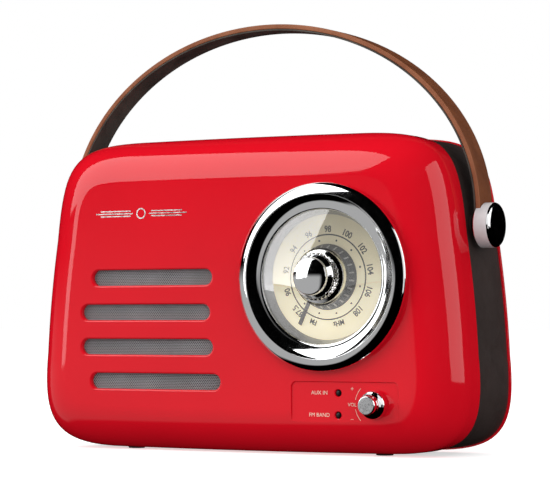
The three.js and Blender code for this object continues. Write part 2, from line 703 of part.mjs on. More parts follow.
function chargeSocket() {
  const { halfWidth, halfHeight } = CHARGE;
  const section = (inset) => rectangle(
    inset - halfWidth, halfWidth - inset, inset - halfHeight, halfHeight - inset, 1.4 - inset);
  const outer = slab(section(0), BOARD.back + GAP, CASE_DEPTH - 2);
  const mouth = slab(section(0.4), BOARD.back + 2, CASE_DEPTH);
  const tongue = block(-2.8, 2.8, BOARD.back + 1, CASE_DEPTH - 3, -0.35, 0.35);
  return carve(outer, { cut: [carve(mouth, { cut: [tongue] })] });
}

function powerSlider() {
  const { halfWidth, halfHeight } = POWER;
  const knob = block(-halfWidth, halfWidth, BOARD.back + 1, CASE_DEPTH - 0.6, -halfHeight, halfHeight);
  const grooves = [-1.2, 0, 1.2].map((x) => block(x - 0.25, x + 0.25, CASE_DEPTH - 1.2, CASE_DEPTH, -2, 2));
  return carve(knob, { cut: grooves });
}

function modeButton() {
  const { radius } = MODE;
  const [front, back] = [BOARD.back + 2.2, CASE_DEPTH - 0.4];
  return turned([[0, front], [radius, front], [radius, back - 0.8], [radius - 0.5, back - 0.2], [0, back]], 12);
}

// ---- assembly -----------------------------------------------------------------------------

function piece(parent, name, geometry, material, x = 0, y = 0, z = 0) {
  const mesh = new THREE.Mesh(welded(geometry), material);
  mesh.name = name;
  mesh.position.set(x, y, z);
  parent.add(mesh);
  return mesh;
}

function groupAt(parent, x, y, z) {
  const group = new THREE.Group();
  group.position.set(x, y, z);
  parent.add(group);
  return group;
}

const radio = new THREE.Group();
const rearmost = CASE_DEPTH + AERIAL.stand + AERIAL.radius;
const frame = groupAt(radio, 0, -(KNOB_FRONT + rearmost) / 2, FOOT.height);

piece(frame, "front_shell", frontShell(), RED);
piece(frame, "middle_band", middleBand(), DARK);
piece(frame, "rear_cover", rearCover(), RED);
for (const [name, x, y] of [
  ["foot_front_left", -FOOT.x, FOOT.frontY], ["foot_front_right", FOOT.x, FOOT.frontY],
  ["foot_rear_left", -FOOT.x, FOOT.backY], ["foot_rear_right", FOOT.x, FOOT.backY],
]) piece(frame, name, foot(), RUBBER, x, y, -FOOT.height);
["upper_left", "upper_right", "lower_left", "lower_right"].forEach((place, i) => {
  piece(frame, `case_screw_${place}`, caseScrew(), STEEL, SCREWS[i][0], 0, SCREWS[i][1]);
});

piece(frame, "speaker_grille", slab(rectangle(GRILLE.x0, GRILLE.x1, GRILLE.z0, GRILLE.z1, GRILLE.corner),
  WALL + GAP, WALL + GAP + GRILLE.thick), MESH_GREY);
const speaker = groupAt(frame, SPEAKER.x, 0, SPEAKER.z);
piece(speaker, "speaker_basket", speakerBasket(), STEEL);
piece(speaker, "speaker_magnet", speakerMagnet(), BLACK);
piece(speaker, "speaker_cone", speakerCone(), PAPER);
piece(speaker, "speaker_dust_cap", dustCap(), PAPER);

const dial = groupAt(frame, DIAL.x, 0, DIAL.z);
piece(dial, "dial_bezel", dialBezel(), CHROME);
piece(dial, "dial_window", dialWindow(), CLEAR);
piece(dial, "dial_ring", dialRing(), GREY);
piece(dial, "scale_plate", scalePlate(), CREAM);
piece(dial, "dial_cup", dialCup(), BLACK);
piece(dial, "tuning_capacitor", tuningCapacitor(), STEEL);
piece(dial, "tuning_shaft", tuningShaft(), STEEL);
piece(dial, "tuning_collar", tuningCollar(), GREY);
piece(dial, "pointer", pointer(), DARK);
piece(dial, "tuning_knob", tuningKnob(), CHROME);

const volume = groupAt(frame, VOLUME.x, 0, VOLUME.z);
piece(volume, "volume_knob", volumeKnob(), CHROME);
piece(volume, "volume_shaft", rod(2, -8.2, 8, 12), STEEL);
piece(volume, "volume_control", volumeControl(), STEEL);
piece(frame, "control_board", slab(rectangle(56, 102, 14, 41, 1), 10.3, 11.9), GREEN);
["aux_light", "fm_light"].forEach((name, i) => piece(frame, name, light(), BLACK, LIGHTS.x, 0, LIGHTS.z[i]));

const strap = groupAt(frame, 0, STRAP.y, STRAP.z);
const liningOuter = STRAP.leather + 0.05;
piece(strap, "strap_leather", strapLayer(0, STRAP.leather), LEATHER);
piece(strap, "strap_lining", strapLayer(liningOuter, liningOuter + STRAP.lining), LINING);
for (const [name, side] of [["left", -1], ["right", 1]]) {
  piece(strap, `strap_boss_${name}`, boss(side), CHROME);
  piece(strap, `pivot_pin_${name}`, pivotPin(side), STEEL);
  piece(strap, `pivot_washer_${name}`, pivotWasher(side), GREY);
  piece(strap, `pivot_nut_${name}`, pivotNut(side), BRASS);
}

const aerial = groupAt(frame, AERIAL.x, CASE_DEPTH + AERIAL.stand, AERIAL.z);
piece(aerial, "aerial_foot", aerialFoot(), BLACK);
piece(aerial, "aerial_pin", aerialPin(), STEEL);
piece(aerial, "aerial_outer_tube", aerialOuter(), CHROME);
piece(aerial, "aerial_middle_tube", aerialMiddle(), CHROME);
piece(aerial, "aerial_tip_rod", aerialTip(), CHROME);

piece(frame, "battery_door", batteryDoor(), RED);
piece(frame, "battery_cell", batteryCell(), CELL, BATTERY.x, BATTERY.y, BATTERY.z);
piece(frame, "main_board", mainBoard(), GREEN);
piece(frame, "socket_panel", socketPanel(), BLACK);
piece(frame, "usb_socket", usbSocket(), STEEL, USB.x, 0, USB.z);
piece(frame, "aux_socket", auxSocket(), BLACK, AUX.x, 0, AUX.z);
piece(frame, "charge_socket", chargeSocket(), STEEL, CHARGE.x, 0, CHARGE.z);
piece(frame, "power_slider", powerSlider(), BLACK, POWER.x - POWER.travel / 2, 0, POWER.z);
piece(frame, "mode_button", modeButton(), BLACK, MODE.x, 0, MODE.z);

export default radio;
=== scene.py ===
"""Looks of the portable radio: fine surfaces, materials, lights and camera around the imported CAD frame.

Shapes are written in millimetres in the case's own frame: x to the right, y depth behind the flat front
face, z height above the case's underside. `place` turns such a point into the row frame, in metres.
"""

import math

import bmesh
import bpy
from mathutils import Matrix, Vector


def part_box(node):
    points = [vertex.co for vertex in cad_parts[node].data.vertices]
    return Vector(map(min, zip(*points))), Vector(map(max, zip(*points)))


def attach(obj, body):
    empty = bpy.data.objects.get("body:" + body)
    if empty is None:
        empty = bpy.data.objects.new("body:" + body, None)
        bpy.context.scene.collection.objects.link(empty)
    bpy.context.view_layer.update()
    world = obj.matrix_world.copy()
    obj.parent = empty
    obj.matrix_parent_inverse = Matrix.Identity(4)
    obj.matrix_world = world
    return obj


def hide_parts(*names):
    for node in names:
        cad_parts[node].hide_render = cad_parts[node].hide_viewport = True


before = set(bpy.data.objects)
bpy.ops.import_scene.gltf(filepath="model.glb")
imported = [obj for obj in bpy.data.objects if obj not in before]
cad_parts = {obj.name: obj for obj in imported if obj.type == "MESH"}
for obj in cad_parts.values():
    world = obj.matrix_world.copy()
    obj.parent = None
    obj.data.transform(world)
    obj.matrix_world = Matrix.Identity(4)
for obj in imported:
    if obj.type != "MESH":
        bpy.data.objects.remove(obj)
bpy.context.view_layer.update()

MM = 0.001


# ---- places read from the frame -----------------------------------------------------------

def centre(node):
    low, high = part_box(node)
    return (low + high) / 2


CASE_DEPTH = 80.0
FRONT_DEPTH = 35.0
# The aerial rest stands out from the rear cover's flat back, so depths start at the front face.
FACE_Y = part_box("front_shell")[0].y
UNDER_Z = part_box("foot_front_left")[1].z - 0.55 * MM


def place(x, y, z):
    return Vector((x * MM, FACE_Y + y * MM, UNDER_Z + z * MM))


def local(point):
    """A row-frame point back in the case's frame, in millimetres."""
    return (point.x / MM, (point.y - FACE_Y) / MM, (point.z - UNDER_Z) / MM)


DIAL_X, _, DIAL_Z = local(centre("dial_bezel"))
DIAL = (DIAL_X, 0, DIAL_Z)
VOLUME_X, _, VOLUME_Z = local(centre("volume_knob"))
_, PIVOT_Y, PIVOT_Z = local(centre("strap_boss_right"))
PIVOT = (0, PIVOT_Y, PIVOT_Z)
PIVOT_HOLE = 2.6
BOSS_X0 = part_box("strap_boss_right")[0].x / MM
BOSS_X1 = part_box("strap_boss_right")[1].x / MM


# ---- camera -------------------------------------------------------------------------------

CAMERA_AT = (644.44, -1090.96, 68.52)
CAMERA_AZIMUTH, CAMERA_ELEVATION = 29.485, -1.792
SENSOR, LENS = 36, 154.64


def add_camera():
    azimuth, elevation = math.radians(CAMERA_AZIMUTH), math.radians(CAMERA_ELEVATION)
    back = Vector((
        math.sin(azimuth) * math.cos(elevation),
        -math.cos(azimuth) * math.cos(elevation),
        math.sin(elevation),
    ))
    data = bpy.data.cameras.new("camera")
    data.sensor_width = SENSOR
    data.lens = LENS
    data.clip_end = 100
    camera = bpy.data.objects.new("camera", data)
    camera.location = place(*CAMERA_AT)
    camera.rotation_euler = (-back).to_track_quat("-Z", "Y").to_euler()
    bpy.context.scene.collection.objects.link(camera)
    bpy.context.scene.camera = camera


add_camera()


# ---- mesh helpers -------------------------------------------------------------------------

def new_object(name, mesh):
    piece = bpy.data.objects.new(name, mesh)
    bpy.context.scene.collection.objects.link(piece)
    return piece


def mesh_piece(name, points, faces):
    mesh = bpy.data.meshes.new(name)
    mesh.from_pydata([tuple(p) for p in points], [], faces)
    mesh.validate()
    return new_object(name, mesh)


def face_out(piece):
    work = bmesh.new()
    work.from_mesh(piece.data)
    bmesh.ops.recalc_face_normals(work, faces=work.faces)
    if work.calc_volume(signed=True) < 0:
        bmesh.ops.reverse_faces(work, faces=work.faces)
    work.to_mesh(piece.data)
    work.free()
    return piece


def faces_between(lower, upper, count):
    """Quads from one ring of `count` points to another, each given by its first point's index."""
    turns = [(i, (i + 1) % count) for i in range(count)]
    return [(lower + i, lower + j, upper + j, upper + i) for i, j in turns]


def loft(name, rings):
    """Closed skin over rings of row-frame points, all with the same number of points."""
    count = len(rings[0])
    points = [p for ring in rings for p in ring]
    faces = []
    for r in range(len(rings) - 1):
        faces += faces_between(r * count, (r + 1) * count, count)
    faces.append(tuple(range(count)))
    last = (len(rings) - 1) * count
    faces.append(tuple(last + i for i in reversed(range(count))))
    return face_out(mesh_piece(name, points, faces))


def turned(name, profile, at=(0, 0, 0), axis="y", side=1, segments=96):
    """A profile of (radius, distance) in mm turned about an axis of the case's frame through `at`."""
    closed = profile[0][0] > 1e-6 or profile[-1][0] > 1e-6
    points, faces, rings = [], [], []
    for radius, along in profile:
        count = 1 if radius < 1e-6 else segments
        ring = []
        for k in range(count):
            turn = 2 * math.pi * k / segments
            a, b = radius * math.cos(turn), radius * math.sin(turn)
            offset = {"y": (a, along, b), "x": (side * along, a, b), "z": (a, b, along)}[axis]
            ring.append(len(points))
            points.append(place(at[0] + offset[0], at[1] + offset[1], at[2] + offset[2]))
        rings.append(ring)
    pairs = list(zip(rings, rings[1:]))
    if closed:
        pairs.append((rings[-1], rings[0]))
    for lower, upper in pairs:
        if len(lower) == 1 and len(upper) == 1:
            continue
        for k in range(segments):
            n = (k + 1) % segments
            if len(lower) == 1:
                faces.append((lower[0], upper[k], upper[n]))
            elif len(upper) == 1:
                faces.append((lower[k], upper[0], lower[n]))
            else:
                faces.append((lower[k], upper[k], upper[n], lower[n]))
    return face_out(mesh_piece(name, points, faces))


def ring_section(inner, outer, start, end):
    """The square section of a ring, or of a plain cylinder where the inner radius is nought."""
    return [(inner, start), (outer, start), (outer, end), (inner, end)]


def rounded(profile, radius, steps=4, closed=False):
    """The profile with its corners replaced by small curves; an open one keeps its two ends."""
    result = []
    count = len(profile)
    for i, point in enumerate(profile):
        if not closed and i in (0, count - 1):
            result.append(point)
            continue
        here = Vector(point)
        before, after = Vector(profile[i - 1]), Vector(profile[(i + 1) % count])
        reach = min(radius, (before - here).length * 0.45, (after - here).length * 0.45)
        start = here + (before - here).normalized() * reach
        end = here + (after - here).normalized() * reach
        for k in range(steps + 1):
            t = k / steps
            bend = start * (1 - t) ** 2 + here * (2 * t * (1 - t)) + end * t * t
            result.append(tuple(bend))
    return result


def baked(piece):
    """The piece's modifiers applied to its mesh."""
    bpy.context.view_layer.update()
    graph = bpy.context.evaluated_depsgraph_get()
    mesh = bpy.data.meshes.new_from_object(piece.evaluated_get(graph))
    piece.modifiers.clear()
    piece.data = mesh
    return piece


def carve(piece, cutters, operation="DIFFERENCE"):
    """The piece less its cutters, or joined with them; the cutters are used up."""
    for cutter in cutters:
        step = piece.modifiers.new("carve", "BOOLEAN")
        step.operation = operation
        step.object = cutter
        step.solver = "EXACT"
    baked(piece)
    for cutter in cutters:
        bpy.data.objects.remove(cutter)
    return piece


def bevelled(piece, width, segments=3, angle=40):
    step = piece.modifiers.new("bevel", "BEVEL")
    step.width = width * MM
    step.segments = segments
    step.limit_method = "ANGLE"
    step.angle_limit = math.radians(angle)
    step.use_clamp_overlap = True
    return baked(piece)


def smooth(piece, angle=35):
    piece.data.polygons.foreach_set("use_smooth", [True] * len(piece.data.polygons))
    piece.data.set_sharp_from_angle(angle=math.radians(angle))
    step = piece.modifiers.new("normals", "WEIGHTED_NORMAL")
    step.keep_sharp = True
    step.weight = 60
    return piece


BOX_FACES = [(0, 1, 3, 2), (4, 6, 7, 5), (0, 4, 5, 1), (2, 3, 7, 6), (0, 2, 6, 4), (1, 5, 7, 3)]


def box_piece(name, x0, x1, y0, y1, z0, z1, edge=0.0):
    corners = [place(x, y, z) for x in (x0, x1) for y in (y0, y1) for z in (z0, z1)]
    piece = face_out(mesh_piece(name, corners, BOX_FACES))
    return bevelled(piece, edge) if edge else piece


def finish(piece, body, material, replaces=(), angle=35):
    smooth(piece, angle)
    paint(piece, material)
    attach(piece, body)
    if replaces:
        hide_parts(*replaces)
    return piece


def paint(piece, *materials):
    piece.data.materials.clear()
    for material in materials:
        piece.data.materials.append(material)


# ---- materials ----------------------------------------------------------------------------

def shader(name, colour, roughness, **inputs):
    material = bpy.data.materials.new(name)
    material.use_nodes = True
    principled = material.node_tree.nodes["Principled BSDF"]
    principled.inputs["Base Color"].default_value = (*colour, 1)
    principled.inputs["Roughness"].default_value = roughness
    for key, value in inputs.items():
        principled.inputs[key.replace("_", " ")].default_value = value
    return material


class Nodes:
    """Short calls for wiring a node tree; `position` is in object coordinates, in metres."""

    def __init__(self, owner):
        self.tree = owner.node_tree
        self.principled = self.tree.nodes.get("Principled BSDF")
        self.coordinates = self.tree.nodes.new("ShaderNodeTexCoord").outputs
        self.position = self.coordinates["Object"]

    def add(self, kind, **settings):
        node = self.tree.nodes.new(kind)
        for key, value in settings.items():
            setattr(node, key, value)
        return node

    def link(self, source, target):
        self.tree.links.new(source, target)

    def stretched(self, scale):
        node = self.add("ShaderNodeMapping")
        node.inputs["Scale"].default_value = scale
        self.link(self.position, node.inputs["Vector"])
        return node.outputs["Vector"]

    def noise(self, scale, detail=3.0, rough=0.5, stretch=None, distortion=0.0):
        node = self.add("ShaderNodeTexNoise")
        node.inputs["Scale"].default_value = scale
        node.inputs["Detail"].default_value = detail
        node.inputs["Roughness"].default_value = rough
        node.inputs["Distortion"].default_value = distortion
        self.link(self.stretched(stretch) if stretch else self.position, node.inputs["Vector"])
        return node.outputs["Fac"]

    def cells(self, scale):
        node = self.add("ShaderNodeTexVoronoi")
        node.inputs["Scale"].default_value = scale
        self.link(self.position, node.inputs["Vector"])
        return node.outputs["Distance"]

    def span(self, value, low, high, start, end, kind="LINEAR"):
        """The value carried from `start`..`end` to `low`..`high`, and held beyond them."""
        node = self.add("ShaderNodeMapRange", interpolation_type=kind)
        self.link(value, node.inputs["Value"])
        for socket, number in (("From Min", start), ("From Max", end), ("To Min", low), ("To Max", high)):
            node.inputs[socket].default_value = number
        return node.outputs["Result"]

    def ramp(self, value, *stops):
        node = self.add("ShaderNodeValToRGB")
        elements = node.color_ramp.elements
        while len(elements) < len(stops):
            elements.new(0.5)
        for element, (at, colour) in zip(elements, stops):
            element.position = at
            element.color = (*colour, 1)
        self.link(value, node.inputs["Fac"])
        return node.outputs["Color"]

    def bump(self, height, strength, distance):
        node = self.add("ShaderNodeBump")
        node.inputs["Strength"].default_value = strength
        node.inputs["Distance"].default_value = distance * MM
        self.link(height, node.inputs["Height"])
        if self.principled.inputs["Normal"].links:
            self.link(self.principled.inputs["Normal"].links[0].from_socket, node.inputs["Normal"])
        self.link(node.outputs["Normal"], self.principled.inputs["Normal"])

    def drive(self, socket, value):
        self.link(value, self.principled.inputs[socket])

    def uneven(self, scale, low, high, detail=4):
        """Roughness that drifts between two values over the surface."""
        self.drive("Roughness", self.span(self.noise(scale, detail, 0.6), low, high, 0.3, 0.75))


def scaled(colour, factor):
    return tuple(min(1.0, c * factor) for c in colour)


def gloss_plastic(name, colour):
    material = shader(name, colour, 0.05)
    nodes = Nodes(material)
    tone = nodes.noise(14, 4, 0.5)
    nodes.drive("Base Color", nodes.ramp(tone, (0.35, scaled(colour, 0.97)), (0.65, scaled(colour, 1.03))))
    nodes.uneven(160, 0.03, 0.08, 5)
    nodes.bump(nodes.noise(420, 2, 0.5), 0.02, 0.02)
    return material


def satin_plastic(name, colour, roughness=0.38, grain=2600):
    material = shader(name, colour, roughness, Specular_IOR_Level=0.5)
    nodes = Nodes(material)
    tone = nodes.noise(30, 4, 0.6)
    nodes.drive("Base Color", nodes.ramp(tone, (0.3, scaled(colour, 0.82)), (0.7, scaled(colour, 1.2))))
    nodes.uneven(220, roughness - 0.06, roughness + 0.1)
    nodes.bump(nodes.noise(grain, 2, 0.6), 0.25, 0.05)
    return material


def polished_metal(name, colour, roughness=0.05):
    material = shader(name, colour, roughness, Metallic=1.0)
    nodes = Nodes(material)
    nodes.uneven(300, roughness * 0.6, roughness * 1.8)
    return material


def brushed_metal(name, colour, stretch, roughness=0.3):
    material = shader(name, colour, roughness, Metallic=1.0)
    nodes = Nodes(material)
    lines = nodes.noise(900, 3, 0.7, stretch=stretch)
    nodes.drive("Roughness", nodes.span(lines, roughness - 0.08, roughness + 0.12, 0.3, 0.7))
    nodes.drive("Base Color", nodes.ramp(lines, (0.3, scaled(colour, 0.86)), (0.7, scaled(colour, 1.1))))
    nodes.bump(lines, 0.15, 0.03)
    return material


def leather(name, dark, light, roughness=0.48, pores=True):
    material = shader(name, light, roughness, Specular_IOR_Level=0.16)
    nodes = Nodes(material)
    tone = nodes.noise(55, 6, 0.62, distortion=0.4)
    nodes.drive("Base Color", nodes.ramp(tone, (0.3, dark), (0.7, light)))
    nodes.uneven(400, roughness - 0.1, roughness + 0.15)
    if pores:
        nodes.bump(nodes.cells(950), 0.45, 0.12)
    nodes.bump(nodes.noise(1500, 4, 0.7), 0.35, 0.08)
    return material


RED_COLOUR = (0.78, 0.0062, 0.0175)
RED = gloss_plastic("red_plastic", RED_COLOUR)
DARK = satin_plastic("dark_plastic", (0.047, 0.032, 0.029))
BLACK = satin_plastic("black_plastic", (0.012, 0.012, 0.013), 0.42)
CHROME = polished_metal("chrome", (0.88, 0.885, 0.89))
STEEL = brushed_metal("steel", (0.55, 0.55, 0.56), (1, 1, 12))
SATIN = brushed_metal("satin_grey", (0.5, 0.5, 0.51), (1, 20, 1), 0.28)
COLLAR_GREY = satin_plastic("collar_grey", (0.035, 0.035, 0.037), 0.35)
GRILLE = satin_plastic("grille_mesh", (0.33, 0.33, 0.34), 0.4)
# The strap bosses are chrome all over; this pale grey on their round sides is a painted reflection of bright
# surroundings.
BOSS_SIDE_PAINTED_REFLECTION = satin_plastic("boss_side_painted_reflection", (0.6, 0.6, 0.61), 0.3)
LENS_BLACK = satin_plastic("light_pipe", (0.003, 0.003, 0.003), 0.45)
LEATHER = leather("leather", (0.15, 0.042, 0.014), (0.25, 0.075, 0.024))
LEATHER_EDGE = leather("leather_edge", (0.25, 0.085, 0.04), (0.38, 0.15, 0.075), 0.55, pores=False)
LINING = leather("lining", (0.05, 0.044, 0.038), (0.11, 0.098, 0.084), 0.7)
RUBBER = satin_plastic("rubber", (0.014, 0.014, 0.014), 0.75, 1800)
BOARD = satin_plastic("circuit_board", (0.015, 0.12, 0.05), 0.35)
PAPER = satin_plastic("cone_paper", (0.025, 0.025, 0.027), 0.8, 1400)
SLEEVE = gloss_plastic("cell_sleeve", (0.03, 0.12, 0.36))
BRASS = brushed_metal("brass", (0.65, 0.48, 0.2), (1, 1, 8), 0.25)
INK = satin_plastic("black_print", (0.012, 0.011, 0.01), 0.5)
LABEL = satin_plastic("pale_print", (0.85, 0.62, 0.5), 0.5)
SILVER = polished_metal("silver_print", (0.8, 0.79, 0.78), 0.2)


def cream_plate():
    """The scale's card, made a little brighter towards its foot by a painted glow."""
    material = shader("cream_plate", (0.86, 0.78, 0.54), 0.5)
    nodes = Nodes(material)
    tone = nodes.noise(40, 5, 0.6)
    nodes.drive("Base Color", nodes.ramp(tone, (0.3, (0.7, 0.62, 0.4)), (0.7, (0.78, 0.71, 0.5))))
    nodes.bump(nodes.noise(1600, 3, 0.6), 0.15, 0.03)
    principled = nodes.principled
    # The emission is painted light: a warm glow, strongest at the card's foot and fading upwards, standing
    # in for the light that falls on the card.
    principled.inputs["Emission Color"].default_value = (1.0, 0.9, 0.62, 1)
    height = nodes.add("ShaderNodeSeparateXYZ")
    nodes.link(nodes.position, height.inputs["Vector"])
    low, high = (place(0, 0, DIAL_Z + side * 26).z for side in (-1, 1))
    nodes.drive("Emission Strength", nodes.span(height.outputs["Z"], 0.62, 0.03, low, high))
    return material


def clear_glass():
    material = shader("window_glass", (1, 1, 1), 0.02, Transmission_Weight=1.0, IOR=1.85)
    nodes = Nodes(material)
    nodes.drive("Roughness", nodes.span(nodes.noise(120, 3, 0.5), 0.005, 0.02, 0.3, 0.7))
    return material


CREAM = cream_plate()
GLASS = clear_glass()


# ---- outlines -----------------------------------------------------------------------------

CASE = dict(
    height=170.0, base_half_width=135.4, taper=0.103, top_reach=55.0, top_pull=0.9,
    bottom_reach=53.0, bottom_pull=0.8, side_bulge=0.8, top_bulge=0.3, bottom_bulge=0.4,
)
CORNER_STEPS = 22
EDGE_STEPS = 10


def bezier(start, first, second, end, t):
    return (start * (1 - t) ** 3 + first * (3 * (1 - t) ** 2 * t)
            + second * (3 * (1 - t) * t * t) + end * t ** 3)


def case_outline(inset, depth):
    """The case outline drawn in by `inset` at `depth`, as row-frame points."""
    slant = math.hypot(1, CASE["taper"])

    def half_width(z):
        return CASE["base_half_width"] - CASE["taper"] * z - inset * slant

    top = CASE["height"] - inset
    low_x, high_x = half_width(inset), half_width(top)
    vertices = [Vector(v) for v in ((low_x, inset), (high_x, top), (-high_x, top), (-low_x, inset))]
    reach = [CASE[k] - inset for k in ("bottom_reach", "top_reach", "top_reach", "bottom_reach")]
    pull = [CASE[k] for k in ("bottom_pull", "top_pull", "top_pull", "bottom_pull")]
    bulge = [CASE[k] for k in ("side_bulge", "top_bulge", "side_bulge", "bottom_bulge")]
    points = []
    for i in range(4):
        before, vertex, after = vertices[i - 1], vertices[i], vertices[(i + 1) % 4]
        start = vertex + (before - vertex).normalized() * reach[i]
        end = vertex + (after - vertex).normalized() * reach[i]
        first, second = start.lerp(vertex, pull[i]), end.lerp(vertex, pull[i])
        for k in range(CORNER_STEPS + 1):
            points.append(bezier(start, first, second, end, k / CORNER_STEPS))
        following = after + (vertex - after).normalized() * reach[(i + 1) % 4]
        run = following - end
        outward = Vector((run.y, -run.x)).normalized()
        for k in range(1, EDGE_STEPS):
            t = k / EDGE_STEPS
            points.append(end.lerp(following, t) + outward * (4 * t * (1 - t) * bulge[i]))
    return [place(p.x, depth, p.y) for p in points]


def rectangle(x0, x1, z0, z1, corner, depth, steps=8):
    points = []
    for x, z, start in ((x1 - corner, z0 + corner, -90), (x1 - corner, z1 - corner, 0),
                        (x0 + corner, z1 - corner, 90), (x0 + corner, z0 + corner, 180)):
        for k in range(steps + 1):
            turn = math.radians(start + 90 * k / steps)
            points.append(place(x + corner * math.cos(turn), depth, z + corner * math.sin(turn)))
    return points


def grown(bounds, by, corner, depth):
    """The rounded rectangle `bounds` (x0, x1, z0, z1) made larger by `by` on every side."""
    x0, x1, z0, z1 = bounds
    return rectangle(x0 - by, x1 + by, z0 - by, z1 + by, corner, depth)


# ---- case ---------------------------------------------------------------------------------

WALL = 2.6
FILLET = 24.0
SLOT_HEIGHT = 10.8
SLOTS = [(-90.0, -10.8, 93.9), (-97.1, -12.1, 74.9), (-97.0, -10.2, 56.0), (-90.8, -5.4, 37.2)]
PANEL, PANEL_CORNER, PANEL_DEPTH = (37.3, 100.4, 15.9, 38.3), 3.0, 0.8
LIGHT_X, LIGHT_Z = 65.0, (32.4, 20.8)
FOOT_X, FOOT_FRONT, FOOT_REAR, FOOT_RADIUS = 78.0, 29.0, 66.0, 4.6
DIAL_HOLE, SHAFT_HOLE, LIGHT_HOLE, LIGHT_PIPE_HOLE = 40.2, 3.2, 2.3, 1.9
BAND_INSET, BAND_FRONT, BAND_BACK = 0.8, 35.3, 73.2
COVER_FRONT, COVER_RADIUS = 73.5, 6.2


def quarter(steps):
    """The sine and cosine at even steps through a quarter turn."""
    turns = [math.pi / 2 * i / steps for i in range(steps + 1)]
    return [(math.sin(turn), math.cos(turn)) for turn in turns]


def shell_rings(inset, sink, end, steps):
    radius = FILLET - inset
    rings = [case_outline(inset + radius * (1 - s), sink + radius * (1 - c)) for s, c in quarter(steps)]
    rings.append(case_outline(inset, end - 0.5))
    return rings


def slot_rings(x0, x1, z, edge):
    """A round-ended opening with a rounded front edge, as rings to cut with."""
    half = SLOT_HEIGHT / 2

    def ring(inset, depth):
        corner = half - inset - 0.01
        return rectangle(x0 + inset, x1 - inset, z - half + inset, z + half - inset, corner, depth, 12)

    curve = [ring(edge * s, edge * (1 - c)) for s, c in quarter(7)]
    return [ring(-0.25, -1.0), ring(-0.02, -0.01), *curve, ring(edge, WALL + 2)]


def foot_seat(x, y):
    return turned("seat", ring_section(0, FOOT_RADIUS + 0.3, -5, 0.8), (x, y, 0), "z", segments=48)


def build_front_shell():
    rings = shell_rings(0, 0, FRONT_DEPTH, 20)
    rings.append(case_outline(0.15, FRONT_DEPTH - 0.15))
    rings.append(case_outline(0.5, FRONT_DEPTH))
    shell = loft("front_shell_skin", rings)
    cutters = [loft("hollow", shell_rings(WALL, WALL, FRONT_DEPTH + 2, 10))]
    for x0, x1, z in SLOTS:
        cutters.append(loft("slot", slot_rings(x0, x1, z, 1.15)))
    cutters.append(turned("dial", ring_section(0, DIAL_HOLE, -1, 5), DIAL, segments=128))
    steps = ((0.6, -1), (0.35, 0.0), (0.1, 0.12), (0, 0.35), (0, 0.6), (-0.2, PANEL_DEPTH))
    cutters.append(loft("panel", [grown(PANEL, by, PANEL_CORNER + by, depth) for by, depth in steps]))
    cutters.append(turned("shaft", ring_section(0, SHAFT_HOLE, -1, 5), (VOLUME_X, 0, VOLUME_Z)))
    for z in LIGHT_Z:
        profile = [(0, -1), (LIGHT_HOLE, -1), (LIGHT_HOLE, 0.8)]
        profile += [(LIGHT_PIPE_HOLE, 1.1), (LIGHT_PIPE_HOLE, 5), (0, 5)]
        cutters.append(turned("light", profile, (LIGHT_X, 0, z), segments=48))
    for x in (-FOOT_X, FOOT_X):
        cutters.append(foot_seat(x, FOOT_FRONT))
    carve(shell, cutters)
    return finish(shell, "case", RED, ["front_shell"], 28)


def build_middle_band():
    inset, front, back = BAND_INSET, BAND_FRONT, BAND_BACK
    band = loft("middle_band_skin", [
        case_outline(inset + 0.5, front), case_outline(inset + 0.12, front + 0.12),
        case_outline(inset, front + 0.5), case_outline(inset, (front + back) / 2),
        case_outline(inset, back - 0.5), case_outline(inset + 0.12, back - 0.12),
        case_outline(inset + 0.5, back),
    ])
    lip = WALL + 0.3
    lips = loft("lips", [case_outline(lip, FRONT_DEPTH - 3), case_outline(lip, back + 2)])
    carve(band, [lips], "UNION")
    hollow = loft("hollow", [case_outline(lip + 1.6, FRONT_DEPTH - 4), case_outline(lip + 1.6, back + 4)])
    carve(band, [hollow])
    seats = [turned("seat", [(0, 117), (5.6, 117), (5.9, 122.6), (5.6, 122.9), (0, 122.9)],
                    PIVOT, "x", side, 64) for side in (-1, 1)]
    carve(band, seats, "UNION")
    hole = ring_section(0, PIVOT_HOLE, 108, 130)
    cutters = [turned("hole", hole, PIVOT, "x", side, 48) for side in (-1, 1)]
    cutters += [foot_seat(x, FOOT_REAR) for x in (-FOOT_X, FOOT_X)]
    carve(band, cutters)
    return finish(band, "case", DARK, ["middle_band"], 28)


SCREWS = [(-100, 131), (100, 131), (-114, 26), (114, 26)]
AERIAL = (-92.0, 151.0)
DOOR, DOOR_CORNER = (-44.0, 44.0, 24.0, 57.0), 4
SOCKETS = (58.0, 104.0, 20.0, 62.0)
VENT_X, VENT_ROWS, VENT_FIRST, VENT_PITCH, VENT_HALF = (-76, -28), 6, 76, 8, 1.5
SCREW_HOLE, TURRET_HOLE = (1.8, 3.3, 3.7), 2.8


